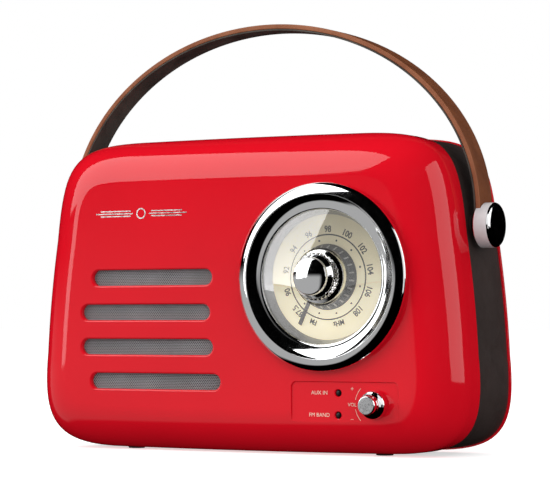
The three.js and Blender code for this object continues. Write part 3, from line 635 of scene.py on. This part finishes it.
def build_rear_cover():
    rings = [case_outline(0.5, COVER_FRONT), case_outline(0.12, COVER_FRONT + 0.12)]
    for s, c in quarter(10):
        rings.append(case_outline(COVER_RADIUS * (1 - c), CASE_DEPTH - COVER_RADIUS * (1 - s)))
    cover = loft("rear_cover_skin", rings)
    carve(cover, [loft("hollow", [case_outline(WALL, 72), case_outline(WALL, CASE_DEPTH - WALL)])])
    rest = box_piece("rest", 62, 68, CASE_DEPTH - 1, CASE_DEPTH + 5, AERIAL[1] - 6.3, AERIAL[1] - 3.3, 0.6)
    battery_box = box_piece("box", -40, 40, 53.6, CASE_DEPTH - 2, 26, 54)
    recess = loft("recess", [grown(SOCKETS, 1.6, 5, CASE_DEPTH - 5), grown(SOCKETS, 1.6, 5, CASE_DEPTH - 1)])
    carve(cover, [rest, battery_box, recess], "UNION")
    edge = 0.5
    cutters = [
        box_piece("cell", -38.4, 38.4, 55.2, CASE_DEPTH + 1, 27.6, 52.4),
        soft_opening(DOOR, DOOR_CORNER, CASE_DEPTH - 2.4, edge),
        soft_opening(SOCKETS, 4, 68, edge),
        soft_opening((-5, 5, 55, 62), 3, CASE_DEPTH - 1.2, edge),
        turned("turret", ring_section(0, TURRET_HOLE, 70, 90), (AERIAL[0], 0, AERIAL[1]), segments=48),
    ]
    for row in range(VENT_ROWS):
        z = VENT_FIRST + VENT_PITCH * row
        cutters.append(soft_opening((*VENT_X, z - VENT_HALF, z + VENT_HALF), VENT_HALF - 0.01, 70, 0.4))
    shank, seat, rim = SCREW_HOLE
    for x, z in SCREWS:
        profile = [(0, 60), (shank, 60), (shank, CASE_DEPTH - 1.4), (seat, CASE_DEPTH - 1.4),
                   (seat, CASE_DEPTH - 0.3), (rim, CASE_DEPTH), (rim + 0.2, 90), (0, 90)]
        cutters.append(turned("screw", profile, (x, 0, z), segments=48))
    carve(cover, cutters)
    ledge = loft("ledge", [grown(SOCKETS, 0.5, 4, CASE_DEPTH - 5), grown(SOCKETS, 0.5, 4, CASE_DEPTH - 4)])
    carve(cover, [ledge], "UNION")
    carve(cover, [loft("hole", [grown(SOCKETS, -2, 3, 70), grown(SOCKETS, -2, 3, 90)])])
    return finish(cover, "case", RED, ["rear_cover"], 28)


def soft_opening(bounds, corner, floor, edge):
    """An opening in the back, from `floor` out, whose outer edge is rounded by `edge`."""
    rings = [grown(bounds, 0, corner, floor)]
    for s, c in quarter(5):
        by = edge * (1 - c)
        rings.append(grown(bounds, by, corner + by, CASE_DEPTH - edge + edge * s))
    rings.append(grown(bounds, edge + 0.2, corner + edge + 0.2, CASE_DEPTH + 1))
    return loft("opening", rings)


# ---- loudspeaker grille -------------------------------------------------------------------

MESH_PITCH_X, MESH_PITCH_Z = 1.25, 0.86


def build_grille():
    """A metal sheet pierced with small staggered six-sided holes wherever a slot shows it."""
    depth, thick, web, rows = WALL + 0.3, 0.5, 0.28, 17
    points, faces, index = [], [], {}

    def corner(x, z):
        key = (round(x, 3), round(z, 3))
        if key not in index:
            index[key] = len(points)
            points.append(place(x, depth, z))
        return index[key]

    for x0, x1, zc in SLOTS:
        columns = int((x1 - x0) / MESH_PITCH_X) + 3
        for row in range(rows):
            z = zc + (row - rows // 2) * MESH_PITCH_Z
            for column in range(columns):
                x = x0 - 1 + (column + 0.5 * (row % 2)) * MESH_PITCH_X
                faces += mesh_cell(corner, x, z, web)
    sheet = mesh_piece("grille_mesh_sheet", points, faces)
    step = sheet.modifiers.new("thickness", "SOLIDIFY")
    step.thickness = thick * MM
    step.offset = -1
    baked(sheet)
    face_out(sheet)
    paint(sheet, GRILLE)
    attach(sheet, "case")
    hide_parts("speaker_grille")
    low, high = (local(end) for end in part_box("speaker_grille"))
    behind = depth + thick
    # A black sheet close behind the mesh: painted shade, standing in for the dark inside the case that the
    # holes show.
    shade_backing = box_piece("grille_cloth", low[0], high[0], behind + 0.05, behind + 0.2, low[2], high[2])
    finish(shade_backing, "case", BLACK)


def mesh_cell(corner, x, z, web):
    """The six strips of metal between a hole and the outline of its cell."""
    half_x, tip = MESH_PITCH_X / 2, MESH_PITCH_Z / 1.5
    shape = [(-half_x, -tip / 2), (0, -tip), (half_x, -tip / 2),
             (half_x, tip / 2), (0, tip), (-half_x, tip / 2)]
    shrink_x, shrink_z = 1 - web / MESH_PITCH_X, 1 - web / MESH_PITCH_Z
    outer = [corner(x + a, z + b) for a, b in shape]
    inner = [corner(x + a * shrink_x, z + b * shrink_z) for a, b in shape]
    return [(outer[i], outer[(i + 1) % 6], inner[(i + 1) % 6], inner[i]) for i in range(6)]


# ---- dial ---------------------------------------------------------------------------------

def curve_points(start, first, second, end, steps):
    vectors = [Vector(p) for p in (start, first, second, end)]
    return [tuple(bezier(*vectors, k / steps)) for k in range(steps + 1)]


RIM_RADIUS, CREST_RADIUS, CREST_DEPTH, RIM_CURVE = 49.6, 43.4, -6.6, 8.4
# How far the bezel's hollow side leans inwards, in degrees, at each radius
FLUTE_LEANS = [(40.6, 28), (39.3, 18), (36.9, 0)]
WINDOW_RADIUS, WINDOW_HOLE, WINDOW_THICK = 38.5, 15.2, 1.1
PLATE_FRONT = 5.0
PRINT_FRONT, PRINT_BACK = 4.9, 4.99


def bezel_front():
    """The bezel's section from its outer foot over the crest and down the hollow inner side."""
    outer, crest, peak = RIM_RADIUS, CREST_RADIUS, CREST_DEPTH
    points = curve_points((outer, -2.7), (outer, -3.4), (49.53, -3.96), (49.24, -4.24), 6)
    points.insert(0, (outer, -0.05))
    for k in range(1, 15):
        turn = math.radians(44 * (1 - k / 14))
        points.append((crest + RIM_CURVE * math.sin(turn), peak + RIM_CURVE * (1 - math.cos(turn))))
    for k in range(1, 5):
        turn = math.radians(10 * k)
        points.append((crest - 0.3 * math.sin(turn), peak + 0.3 * (1 - math.cos(turn))))
    radius, depth = points[-1]
    leans = [(radius, 40)] + FLUTE_LEANS
    for (start, lean), (end, next_lean) in zip(leans, leans[1:]):
        for k in range(5):
            turn = math.radians(lean + (next_lean - lean) * (k + 0.5) / 5)
            depth += math.tan(turn) * (start - end) / 5
            points.append((start + (end - start) * (k + 1) / 5, depth))
    points += curve_points(points[-1], (36.0, depth), (35.5, depth + 0.4), (35.4, -2.85), 6)[1:]
    return points


def build_dial():
    profile = bezel_front() + [(38.9, -2.45), (38.9, 2.4), (39.9, 2.4), (39.9, -0.05)]
    bezel = turned("dial_bezel_ring", profile, DIAL, segments=192)
    finish(bezel, "case", CHROME, ["dial_bezel"], 50)

    ring = rounded([(37.3, -0.9), (38.6, -0.9), (38.6, 0.6), (34.2, 4.7), (32.9, 4.7)], 0.25, 3, closed=True)
    finish(turned("dial_inner_ring", ring, DIAL, segments=128), "case", SATIN, ["dial_ring"])

    radii = [WINDOW_HOLE + (WINDOW_RADIUS - WINDOW_HOLE) * k / 16 for k in range(17)]
    outside = [(r, -4.15 + 1.85 * (r / WINDOW_RADIUS) ** 3.2) for r in radii]
    inside = [(r, y + WINDOW_THICK) for r, y in reversed(outside)]
    window = turned("dial_window_glass", outside + inside, DIAL, segments=128)
    finish(window, "case", GLASS, ["dial_window"])

    plate = turned("scale_plate_disc", ring_section(4, 38.4, PLATE_FRONT, 6.2), DIAL, segments=128)
    finish(plate, "case", CREAM, ["scale_plate"])
    build_scale_print()


def text_points(text, size, x, y, z, turn, thick, name, narrow=1.0, weight=0.0):
    """Text as a thin solid about the plane at depth y, turned clockwise by `turn` degrees."""
    curve = bpy.data.curves.new(name, "FONT")
    curve.body = text
    curve.size = size * MM
    curve.align_x = "CENTER"
    curve.align_y = "CENTER"
    curve.extrude = thick * MM / 2
    curve.offset = weight * MM
    curve.resolution_u = 3
    piece = new_object(name, curve)
    stand = Matrix.Rotation(math.radians(90), 4, "X")
    spin = Matrix.Rotation(math.radians(turn), 4, "Y")
    slim = Matrix.Diagonal((narrow, 1, 1, 1))
    piece.matrix_world = Matrix.Translation(place(x, y, z)) @ spin @ stand @ slim
    bpy.context.view_layer.update()
    graph = bpy.context.evaluated_depsgraph_get()
    mesh = bpy.data.meshes.new_from_object(piece.evaluated_get(graph))
    mesh.transform(piece.matrix_world)
    bpy.data.objects.remove(piece)
    return new_object(name, mesh)


def joined(name, pieces):
    work = bmesh.new()
    for piece in pieces:
        work.from_mesh(piece.data)
        bpy.data.objects.remove(piece)
    mesh = bpy.data.meshes.new(name)
    work.to_mesh(mesh)
    work.free()
    return new_object(name, mesh)


NUMBERS = ["87.5", "90", "92", "94", "96", "98", "100", "102", "104", "106", "108"]
TEXT_DEPTH, TEXT_RADIUS, CIRCLE, DOT_RADIUS = 4.93, 25.1, (22.0, 22.7), 19.7


def build_scale_print():
    first, step = -135, 27
    pieces = [dial_text(number, first + step * i, TEXT_RADIUS, 4.7) for i, number in enumerate(NUMBERS)]
    pieces.append(dial_text("MHz", 165, TEXT_RADIUS - 0.1, 4.0))
    pieces.append(dial_text("FM", -160, TEXT_RADIUS - 0.1, 4.0))
    pieces.append(turned("circle", ring_section(*CIRCLE, PRINT_FRONT, PRINT_BACK), DIAL, segments=128))
    for k in range(12):
        x, z = around_dial(15 + 30 * k, DOT_RADIUS)
        pieces.append(turned("dot", ring_section(0, 0.55, PRINT_FRONT, PRINT_BACK), (x, 0, z), segments=20))
    finish(joined("scale_print", pieces), "case", INK)


def around_dial(turn, radius):
    angle = math.radians(turn)
    return DIAL_X + radius * math.sin(angle), DIAL_Z + radius * math.cos(angle)


def dial_text(text, turn, radius, size):
    x, z = around_dial(turn, radius)
    return text_points(text, size, x, TEXT_DEPTH, z, turn, 0.08, "scale_text", 0.86, 0.11)


KNOB_FRONT = -17.6
KNURL = dict(radius=12.6, count=30, height=0.95)


def build_tuning():
    collar = rounded([(3.3, 0.2), (15.0, 0.2), (17.4, 4.1), (17.4, 4.6), (3.3, 4.6)], 0.3, 3, closed=True)
    body = turned("tuning_collar_ring", collar, DIAL, segments=96)
    finish(body, "tuning", COLLAR_GREY, ["tuning_collar"])
    ribs = [collar_rib(2 * math.pi * (k + 0.5) / 24) for k in range(24)]
    finish(joined("tuning_collar_marks", ribs), "tuning", SATIN)

    front = KNOB_FRONT
    cap = [(9.0 * k / 10, front + 1.1 * (k / 10) ** 2) for k in range(11)]
    cap += curve_points(cap[-1], (9.6, front + 1.25), (9.8, front + 1.7), (9.8, front + 2.4), 6)[1:]
    neck = [(9.8, front + 3.4), (11.4, front + 5.6), (11.7, front + 6.1), (11.7, front + 6.4)]
    knurl_start, knurl_end = front + 6.4, front + 11.2
    drum = [(11.9, front + 11.4), (14.1, front + 12.2), (14.3, front + 12.7), (14.3, -1.4), (13.8, -0.9),
            (3.2, -0.9), (3.2, -13.4), (0, -13.4)]
    profile = cap + rounded([cap[-1]] + neck, 0.4, 4)[1:] + rounded([neck[-1]] + drum, 0.35, 4)[1:]
    knob = turned("tuning_knob_body", profile, DIAL, segments=128)
    finish(knob, "tuning", CHROME, ["tuning_knob"], 40)
    band = knurled_band("tuning_knob_knurl", DIAL, y0=knurl_start, y1=knurl_end, **KNURL)
    finish(band, "tuning", CHROME, (), 20)


def collar_rib(turn):
    """A light mark that runs down the collar's sloping flank."""
    along = Vector((math.sin(turn), 0, math.cos(turn)))
    across = Vector((math.cos(turn), 0, -math.sin(turn)))
    points = []
    for radius, depth in ((15.25, 0.35), (16.75, 2.85)):
        for side in (-0.42, 0.42):
            for lift in (-0.22, 0.25):
                p = Vector(DIAL) + along * radius + across * side + Vector((0, depth + lift, 0))
                points.append(place(*p))
    return bevelled(face_out(mesh_piece("mark", points, BOX_FACES)), 0.1, 2)


def knurled_band(name, at, y0, y1, radius, count, height):
    """A ring with two crossing sets of fine grooves, which leave small pyramids."""
    around, along = count * 10, 30
    points, faces = [], []

    def saw(t):
        return abs((t % 1.0) * 2 - 1)

    for j in range(along + 1):
        y = y0 + (y1 - y0) * j / along
        edge = min(1.0, min(j, along - j) / 3.0)
        slope = (y - y0) / (2 * math.pi * radius / count)
        for i in range(around):
            turn = i / around
            peaks = min(saw(turn * count + slope), saw(turn * count - slope))
            r = radius - height + height * edge * (0.25 + 0.75 * min(1, peaks * 1.6))
            a = 2 * math.pi * turn
            points.append(place(at[0] + r * math.cos(a), y, at[2] + r * math.sin(a)))
    for j in range(along):
        faces += faces_between(j * around, (j + 1) * around, around)
    first = len(points)
    inner = radius - height - 0.9
    for y in (y0, y1):
        for i in range(around):
            a = 2 * math.pi * i / around
            points.append(place(at[0] + inner * math.cos(a), y, at[2] + inner * math.sin(a)))
    last, second = along * around, first + around
    faces += faces_between(0, first, around) + faces_between(last, second, around)
    faces += faces_between(first, second, around)
    return face_out(mesh_piece(name, points, faces))


# ---- front panel --------------------------------------------------------------------------

# Each label's text, size and place; each arc's ends in degrees clockwise from the top
PANEL_LABELS = (("AUX IN", 2.9, 53.9, LIGHT_Z[0]), ("FM BAND", 2.9, 53.9, LIGHT_Z[1]),
                ("VOL", 2.7, 73.3, 26.4), ("+", 3.2, 73.3, 34.6), ("–", 3.2, 73.3, 19.0))
PANEL_ARCS, PANEL_ARC_RADIUS = ((227, 258), (282, 313)), 12.2


def build_front_controls():
    at = (VOLUME_X, 0, VOLUME_Z)
    profile = rounded([(0, -10.9), (4.6, -10.9), (4.95, -10.2), (5.0, -6.2), (6.0, -5.2), (6.9, -4.6),
                       (7.3, -3.8), (7.3, 0.2), (6.8, 0.5), (2.2, 0.5), (2.2, -8.4), (0, -8.4)], 0.3, 4)
    body = turned("volume_knob_body", profile, at, segments=96)
    finish(body, "volume", CHROME, ["volume_knob"], 40)
    face = rounded(ring_section(0, 4.3, -10.98, -10.7), 0.08, 2)
    finish(turned("volume_knob_face", face, at, segments=64), "volume", SATIN)
    for z, node in zip(LIGHT_Z, ("aux_light", "fm_light")):
        profile = curve_points((0, 0.9), (0.8, 0.9), (1.6, 1.2), (1.6, 1.8), 8)
        profile += [(1.6, 7), (2.1, 7), (2.1, 9.6), (0, 9.6)]
        pipe = turned(node + "_pipe", profile, (LIGHT_X, 0, z), segments=40)
        finish(pipe, "case", LENS_BLACK, [node])

    depth = PANEL_DEPTH - 0.04
    labels = [text_points(text, size, x, depth, z, 0, 0.06, "label") for text, size, x, z in PANEL_LABELS]
    for start, end in PANEL_ARCS:
        labels.append(arc_print(PANEL_ARC_RADIUS, start, end, depth))
    finish(joined("panel_labels", labels), "case", LABEL)


def arc_print(radius, start, end, depth):
    """A thin curved line around the volume knob; angles run clockwise from the top."""
    steps = 16
    points, faces = [], []
    for k in range(steps + 1):
        turn = math.radians(start + (end - start) * k / steps)
        for r in (radius - 0.12, radius + 0.12):
            for y in (depth - 0.03, depth + 0.03):
                points.append(place(VOLUME_X + r * math.sin(turn), y, VOLUME_Z + r * math.cos(turn)))
    for k in range(steps):
        a, b = 4 * k, 4 * (k + 1)
        for i, j in ((0, 1), (1, 3), (3, 2), (2, 0)):
            faces.append((a + i, a + j, b + j, b + i))
    faces += [(0, 1, 3, 2), (4 * steps, 4 * steps + 2, 4 * steps + 3, 4 * steps + 1)]
    return face_out(mesh_piece("arc", points, faces))


def build_ornament():
    """A plain printed motif on the front: fine lines on either side of a small ring."""
    y0, y1 = -0.06, 0.05
    middle, z = -56.9, 129.1
    pieces = []
    for dz in (-1.4, 0, 1.4):
        inner = 5.2 if dz == 0 else 6.6
        for side in (-1, 1):
            a, b = sorted((middle + side * inner, middle + side * (29.5 - abs(dz) * 2.2)))
            low, high = z + dz - 0.3, z + dz + 0.3
            pieces.append(loft("bar", [rectangle(a, b, low, high, 0.28, y, 4) for y in (y0, y1)]))
    pieces.append(turned("ring", ring_section(2.3, 3.0, y0, y1), (middle, 0, z), segments=64))
    finish(joined("front_ornament", pieces), "case", SILVER)


# ---- strap --------------------------------------------------------------------------------

STRAP = dict(width=15.8, straight=8.0, half_span=129.4, rise=105.2, leather=2.65, lining=0.9, tail=6.0)
BOSS_RADIUS = 11.9


def section_loop(outer, inner, edge):
    """The strap's cross-section as (across, offset from the outer face), with round corners."""
    half = STRAP["width"] / 2
    corners = [(half, outer), (half, inner), (-half, inner), (-half, outer)]
    return rounded(corners, edge, 5, closed=True)


def build_strap_layer(name, outer, inner, edge, materials, node):
    section = section_loop(outer, inner, edge)
    span, rise = STRAP["half_span"], STRAP["rise"]
    straight, tail = STRAP["straight"], STRAP["tail"]
    path = [(0.0, -tail + (straight + tail) * k / 6) for k in range(6)]
    path += [(math.pi * k / 180, straight) for k in range(181)]
    path += [(math.pi, straight - (straight + tail) * k / 6) for k in range(1, 7)]
    rings = []
    for turn, level in path:
        ring = []
        for across, offset in section:
            x, z = (span - offset) * math.cos(turn), level + (rise - offset) * math.sin(turn)
            ring.append(place(x, PIVOT_Y + across, PIVOT_Z + z))
        rings.append(ring)
    layer = loft(name, rings)
    hole = ring_section(0, PIVOT_HOLE, 110, 140)
    carve(layer, [turned("hole", hole, PIVOT, "x", side, 32) for side in (-1, 1)])
    finish(layer, "handle", materials[0], [node], 50)
    if len(materials) > 1:
        layer.data.materials.append(materials[1])
        for face in layer.data.polygons:
            face.material_index = int(abs(face.normal.y) > 0.6)


def build_strap():
    thick = STRAP["leather"]
    leathers = (LEATHER, LEATHER_EDGE)
    build_strap_layer("strap_leather_band", 0, thick, 0.7, leathers, "strap_leather")
    start = thick + 0.05
    end = start + STRAP["lining"]
    build_strap_layer("strap_lining_band", start, end, 0.25, (LINING,), "strap_lining")
    for side, word in ((-1, "left"), (1, "right")):
        build_boss(side, word)


def build_boss(side, word):
    radius, x0, x1 = BOSS_RADIUS, BOSS_X0, BOSS_X1
    foot = [(0, x0), (radius - 0.5, x0), (radius - 0.15, x0 + 0.15), (radius, x0 + 0.5)]
    bends = (radius, x1 - 2.2), (radius, x1 - 0.9), (radius - 1.3, x1 - 0.1), (radius - 3.2, x1)
    rim = curve_points(*bends, 12)
    disc = turned(f"strap_boss_{word}_disc", foot + rim + [(0, x1)], PIVOT, "x", side, 128)
    half = STRAP["width"] / 2 + 0.3
    a, b = sorted((side * (x0 - 1), side * (x0 + 2.9)))
    low = PIVOT_Z - STRAP["tail"] - 0.3
    seat = box_piece("seat", a, b, PIVOT_Y - half, PIVOT_Y + half, low, PIVOT_Z + 20)
    hole = turned("hole", ring_section(0, PIVOT_HOLE, x0 - 1, x0 + 6), PIVOT, "x", side, 40)
    carve(disc, [seat, hole])
    finish(disc, "handle", CHROME, [f"strap_boss_{word}"], 40)
    # The round side takes the pale grey, a painted reflection in place of what the chrome mirrors there.
    disc.data.materials.append(BOSS_SIDE_PAINTED_REFLECTION)
    for face in disc.data.polygons:
        face.material_index = int(abs(face.normal.x) < 0.25)
    washer = rounded(ring_section(PIVOT_HOLE, 4.2, 123.2, 125.5), 0.2, 3, closed=True)
    finish(turned(f"pivot_washer_{word}_ring", washer, PIVOT, "x", side, 64),
           "case", SATIN, [f"pivot_washer_{word}"])


# ---- small pieces -------------------------------------------------------------------------

def build_feet():
    for word_y, y in (("front", FOOT_FRONT), ("rear", FOOT_REAR)):
        for word_x, x in (("left", -FOOT_X), ("right", FOOT_X)):
            profile = rounded(ring_section(0, FOOT_RADIUS, -1.0, 0.55), 0.4, 4)
            name = f"foot_{word_y}_{word_x}"
            pad = turned(name + "_pad", profile, (x, y, 0), "z", segments=64)
            finish(pad, "case", RUBBER, [name])


def build_back():
    back = CASE_DEPTH
    steps = ((0.3, 2.1), (0.3, 0.5), (0.4, 0.22), (0.7, 0.1))
    door = loft("battery_door_lid", [grown(DOOR, -by, DOOR_CORNER - by, back - sink) for by, sink in steps])
    grips = []
    for i in range(4):
        z = DOOR[3] - 4.2 - 1.8 * i
        grips.append(box_piece("grip", -6, 6, back - 0.6, back + 1, z, z + 0.9))
    carve(door, grips)
    finish(door, "battery_door", RED, ["battery_door"])

    for index, word in enumerate(("upper_left", "upper_right", "lower_left", "lower_right")):
        x, z = SCREWS[index]
        head = back - 1.35
        profile = [(0, 56), (1.3, 56), (1.3, head), (2.9, head)]
        profile += curve_points((2.9, head + 0.3), (2.8, head + 0.8), (1.8, head + 1.1), (0, head + 1.15), 8)
        screw = turned(f"case_screw_{word}_part", profile, (x, 0, z), segments=48)
        cross = [box_piece("slot", x - 1.8, x + 1.8, head + 0.45, 90, z - 0.33, z + 0.33),
                 box_piece("slot", x - 0.33, x + 0.33, head + 0.45, 90, z - 1.8, z + 1.8)]
        carve(screw, cross)
        finish(screw, "case", STEEL, [f"case_screw_{word}"], 30)
    build_aerial()


def build_aerial():
    x, z = AERIAL
    pin_y = CASE_DEPTH + 5
    at = (x, pin_y, z)
    outer = rounded([(0, 4.6), (3.0, 4.6), (3.0, 160), (2.45, 160), (2.45, 12), (0, 12)], 0.25, 3)
    sleeve = turned("aerial_outer_sleeve", outer, at, "x", 1, 64)
    tongue = turned("tongue", rounded(ring_section(0, 2.2, -1.7, 1.7), 0.2, 2), at, "z", segments=48)
    neck = box_piece("neck", x, x + 5, pin_y - 2, pin_y + 2, z - 1.7, z + 1.7, 0.2)
    carve(sleeve, [neck, tongue], "UNION")
    carve(sleeve, [turned("hole", ring_section(0, 1.2, -5, 5), at, "z", segments=32)])
    finish(sleeve, "aerial_arm", CHROME, ["aerial_outer_tube"])
    middle = rounded([(0, 13), (2.3, 13), (2.3, 163), (1.65, 163), (1.65, 16), (0, 16)], 0.2, 3)
    finish(turned("aerial_middle_sleeve", middle, at, "x", 1, 48),
           "aerial_middle", CHROME, ["aerial_middle_tube"])
    knob = [(1.5, 163.6), (2.6, 163.9), (3.0, 165), (3.0, 167.4), (2.4, 168), (0, 168)]
    tip = rounded([(0, 17), (1.5, 17)] + knob, 0.3, 4)
    rod = turned("aerial_tip_part", tip, at, "x", 1, 48)
    finish(rod, "aerial_tip", CHROME, ["aerial_tip_rod"])


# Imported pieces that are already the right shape, and the material each one shows
CARRIED_OVER = {
    "speaker_basket": STEEL, "speaker_magnet": BLACK, "speaker_cone": PAPER,
    "speaker_dust_cap": PAPER, "dial_cup": BLACK, "tuning_capacitor": STEEL, "tuning_shaft": STEEL,
    "pointer": DARK, "volume_shaft": STEEL, "volume_control": STEEL, "control_board": BOARD,
    "pivot_pin_left": STEEL, "pivot_pin_right": STEEL, "pivot_nut_left": BRASS, "pivot_nut_right": BRASS,
    "aerial_foot": BLACK, "aerial_pin": STEEL, "battery_cell": SLEEVE, "main_board": BOARD,
    "socket_panel": BLACK, "usb_socket": STEEL, "aux_socket": BLACK, "charge_socket": STEEL,
    "power_slider": BLACK, "mode_button": BLACK,
}


def paint_carried_over():
    for node, material in CARRIED_OVER.items():
        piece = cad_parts[node]
        paint(piece, material)
        piece.data.polygons.foreach_set("use_smooth", [True] * len(piece.data.polygons))
        piece.data.set_sharp_from_angle(angle=math.radians(35))


# ---- studio -------------------------------------------------------------------------------

FLOOR_GREY, FLOOR_GLOW = 0.9, 0.6
DOME, BELOW = 0.56, 0.33
CARD_AZIMUTH, CARD_BRIGHTNESS = -52, 0.42
KEY_AZIMUTH, KEY_ELEVATION, KEY_BRIGHTNESS = -50, 30, 2.7
LIGHT_DISTANCE, LIGHTS_AIM_AT = 3.6, Vector((0, 0, 0.09))


def build_studio():
    floor = mesh_piece("floor", [(-20, -20, 0), (20, -20, 0), (20, 20, 0), (-20, 20, 0)], [(0, 1, 2, 3)])
    material = shader("floor_white", (FLOOR_GREY, FLOOR_GREY, FLOOR_GREY), 0.8, Specular_IOR_Level=0.0,
                      Emission_Color=(1, 1, 1, 1), Emission_Strength=FLOOR_GLOW)
    paint(floor, material)
    floor.visible_glossy = False
    floor.visible_diffuse = False
    build_world()

    polished = group("polished", [
        piece for piece in bpy.data.objects
        if piece.type == "MESH" and piece.data.materials and piece.data.materials[0] in (CHROME, SILVER)
        and not piece.name.startswith("tuning_knob")])
    small = [bpy.data.objects[name] for name in (
        "volume_knob_body", "volume_knob_face", "strap_boss_left_disc", "strap_boss_right_disc")]
    window = bpy.data.objects["dial_window_glass"]
    small_parts = group("small_parts", small)
    glazed = group("glazed", [window])
    facing = group("facing", [window, bpy.data.objects["tuning_knob_body"], *small])

    # The key is one L-shaped window, whose short leg stays above what the flat front mirrors.
    key_light("key_long", (-0.35, 0.245), (-0.42, 0.56))
    key_light("key_foot", (0.0, 0.245), (-0.61, -0.42))
    softbox("back_soft", 165, 20, (-0.6, 0.6), (-0.4, 0.4), 0.9).visible_glossy = False
    key_light("key_short", (0.245, 0.43), (-0.40, 0.56))
    key_light("key_gap", (0.245, 0.43), (-0.575, -0.40), only_for=facing)
    softbox("right_strip", 101, 22, (-0.40, 0.40), (-0.43, 0.36), 1.6).visible_diffuse = False
    softbox("front_fill", 50, 14, (-0.5, 0.5), (-0.24, 0.45), 1.5).visible_glossy = False
    key_light("haze_right", (0.43, 0.95), (-0.575, 0.56), 0.45, glazed)
    softbox("chrome_right", 31, 26, (-0.42, 0.42), (-0.45, 0.5), 1.0, small_parts)
    softbox("chrome_edge", 66, 14, (-0.22, 0.22), (-0.5, 0.5), 0.85, polished)
    softbox("chrome_left", -121, 34, (-0.55, 0.5), (-0.66, 0.6), 1.1, polished)


def group(name, members):
    """A collection of pieces that a light can be kept to."""
    collection = bpy.data.collections.new(name)
    for member in members:
        collection.objects.link(member)
    return collection


def key_light(name, across, upwards, brightness=KEY_BRIGHTNESS, only_for=None):
    return softbox(name, KEY_AZIMUTH, KEY_ELEVATION, across, upwards, brightness, only_for)


def softbox(name, azimuth, elevation, across, upwards, brightness, only_for=None):
    """A flat light that faces the radio from a direction, its extent given at a distance of one unit."""
    a, e = math.radians(azimuth), math.radians(elevation)
    out = Vector((math.sin(a) * math.cos(e), -math.cos(a) * math.cos(e), math.sin(e)))
    right = Vector((math.cos(a), math.sin(a), 0))
    up = out.cross(right)
    light = bpy.data.lights.new(name, "AREA")
    light.shape = "RECTANGLE"
    light.size = (across[1] - across[0]) * LIGHT_DISTANCE
    light.size_y = (upwards[1] - upwards[0]) * LIGHT_DISTANCE
    light.energy = brightness * math.pi * light.size * light.size_y
    lamp = bpy.data.objects.new(name, light)
    middle = out + right * (across[0] + across[1]) / 2 + up * (upwards[0] + upwards[1]) / 2
    lamp.location = LIGHTS_AIM_AT + middle * LIGHT_DISTANCE
    lamp.rotation_euler = Matrix((right, up, out)).transposed().to_euler()
    lamp.visible_camera = False
    bpy.context.scene.collection.objects.link(lamp)
    if only_for:
        lamp.light_linking.receiver_collection = only_for
    return lamp


def build_world():
    """White behind the object; a soft dome, dim below the horizon, lights it; reflections see one card."""
    world = bpy.data.worlds.new("studio")
    bpy.context.scene.world = world
    world.use_nodes = True
    nodes = Nodes(world)
    background = nodes.tree.nodes["Background"]
    background.inputs["Strength"].default_value = 1.0
    direction = nodes.coordinates["Generated"]
    split = nodes.add("ShaderNodeSeparateXYZ")
    nodes.link(direction, split.inputs["Vector"])
    height = split.outputs["Z"]
    shiny = ray_switch(nodes, "Is Glossy Ray", nodes.span(height, BELOW, DOME, -0.35, 0.15))
    nodes.link(low_card(nodes, direction, height), shiny.inputs["B"])
    seen = ray_switch(nodes, "Is Camera Ray", shiny.outputs["Result"])
    seen.inputs["B"].default_value = 1.0
    nodes.link(seen.outputs["Result"], background.inputs["Color"])


def ray_switch(nodes, kind, otherwise):
    """A mix whose input B is for rays of one kind, and `otherwise` for the rest."""
    switch = nodes.add("ShaderNodeMix")
    nodes.link(nodes.add("ShaderNodeLightPath").outputs[kind], switch.inputs["Factor"])
    nodes.link(otherwise, switch.inputs["A"])
    return switch


def low_card(nodes, direction, height):
    """A grey patch low on the left with soft edges, which only reflections see."""
    azimuth = math.radians(CARD_AZIMUTH)
    toward = nodes.add("ShaderNodeVectorMath", operation="DOT_PRODUCT")
    nodes.link(direction, toward.inputs[0])
    toward.inputs[1].default_value = (math.sin(azimuth), -math.cos(azimuth), 0)
    value = nodes.span(toward.outputs["Value"], 0, CARD_BRIGHTNESS, 0.66, 0.74, "SMOOTHSTEP")
    for start, end in ((-0.63, -0.54), (0.1, -0.02)):
        product = nodes.add("ShaderNodeMath", operation="MULTIPLY")
        nodes.link(value, product.inputs[0])
        nodes.link(nodes.span(height, 0, 1, start, end, "SMOOTHSTEP"), product.inputs[1])
        value = product.outputs["Value"]
    return value


build_front_shell()
build_middle_band()
build_rear_cover()
build_grille()
build_dial()
build_tuning()
build_front_controls()
build_ornament()
build_strap()
build_feet()
build_back()
paint_carried_over()
build_studio()
bpy.context.scene.view_settings.view_transform = "Standard"
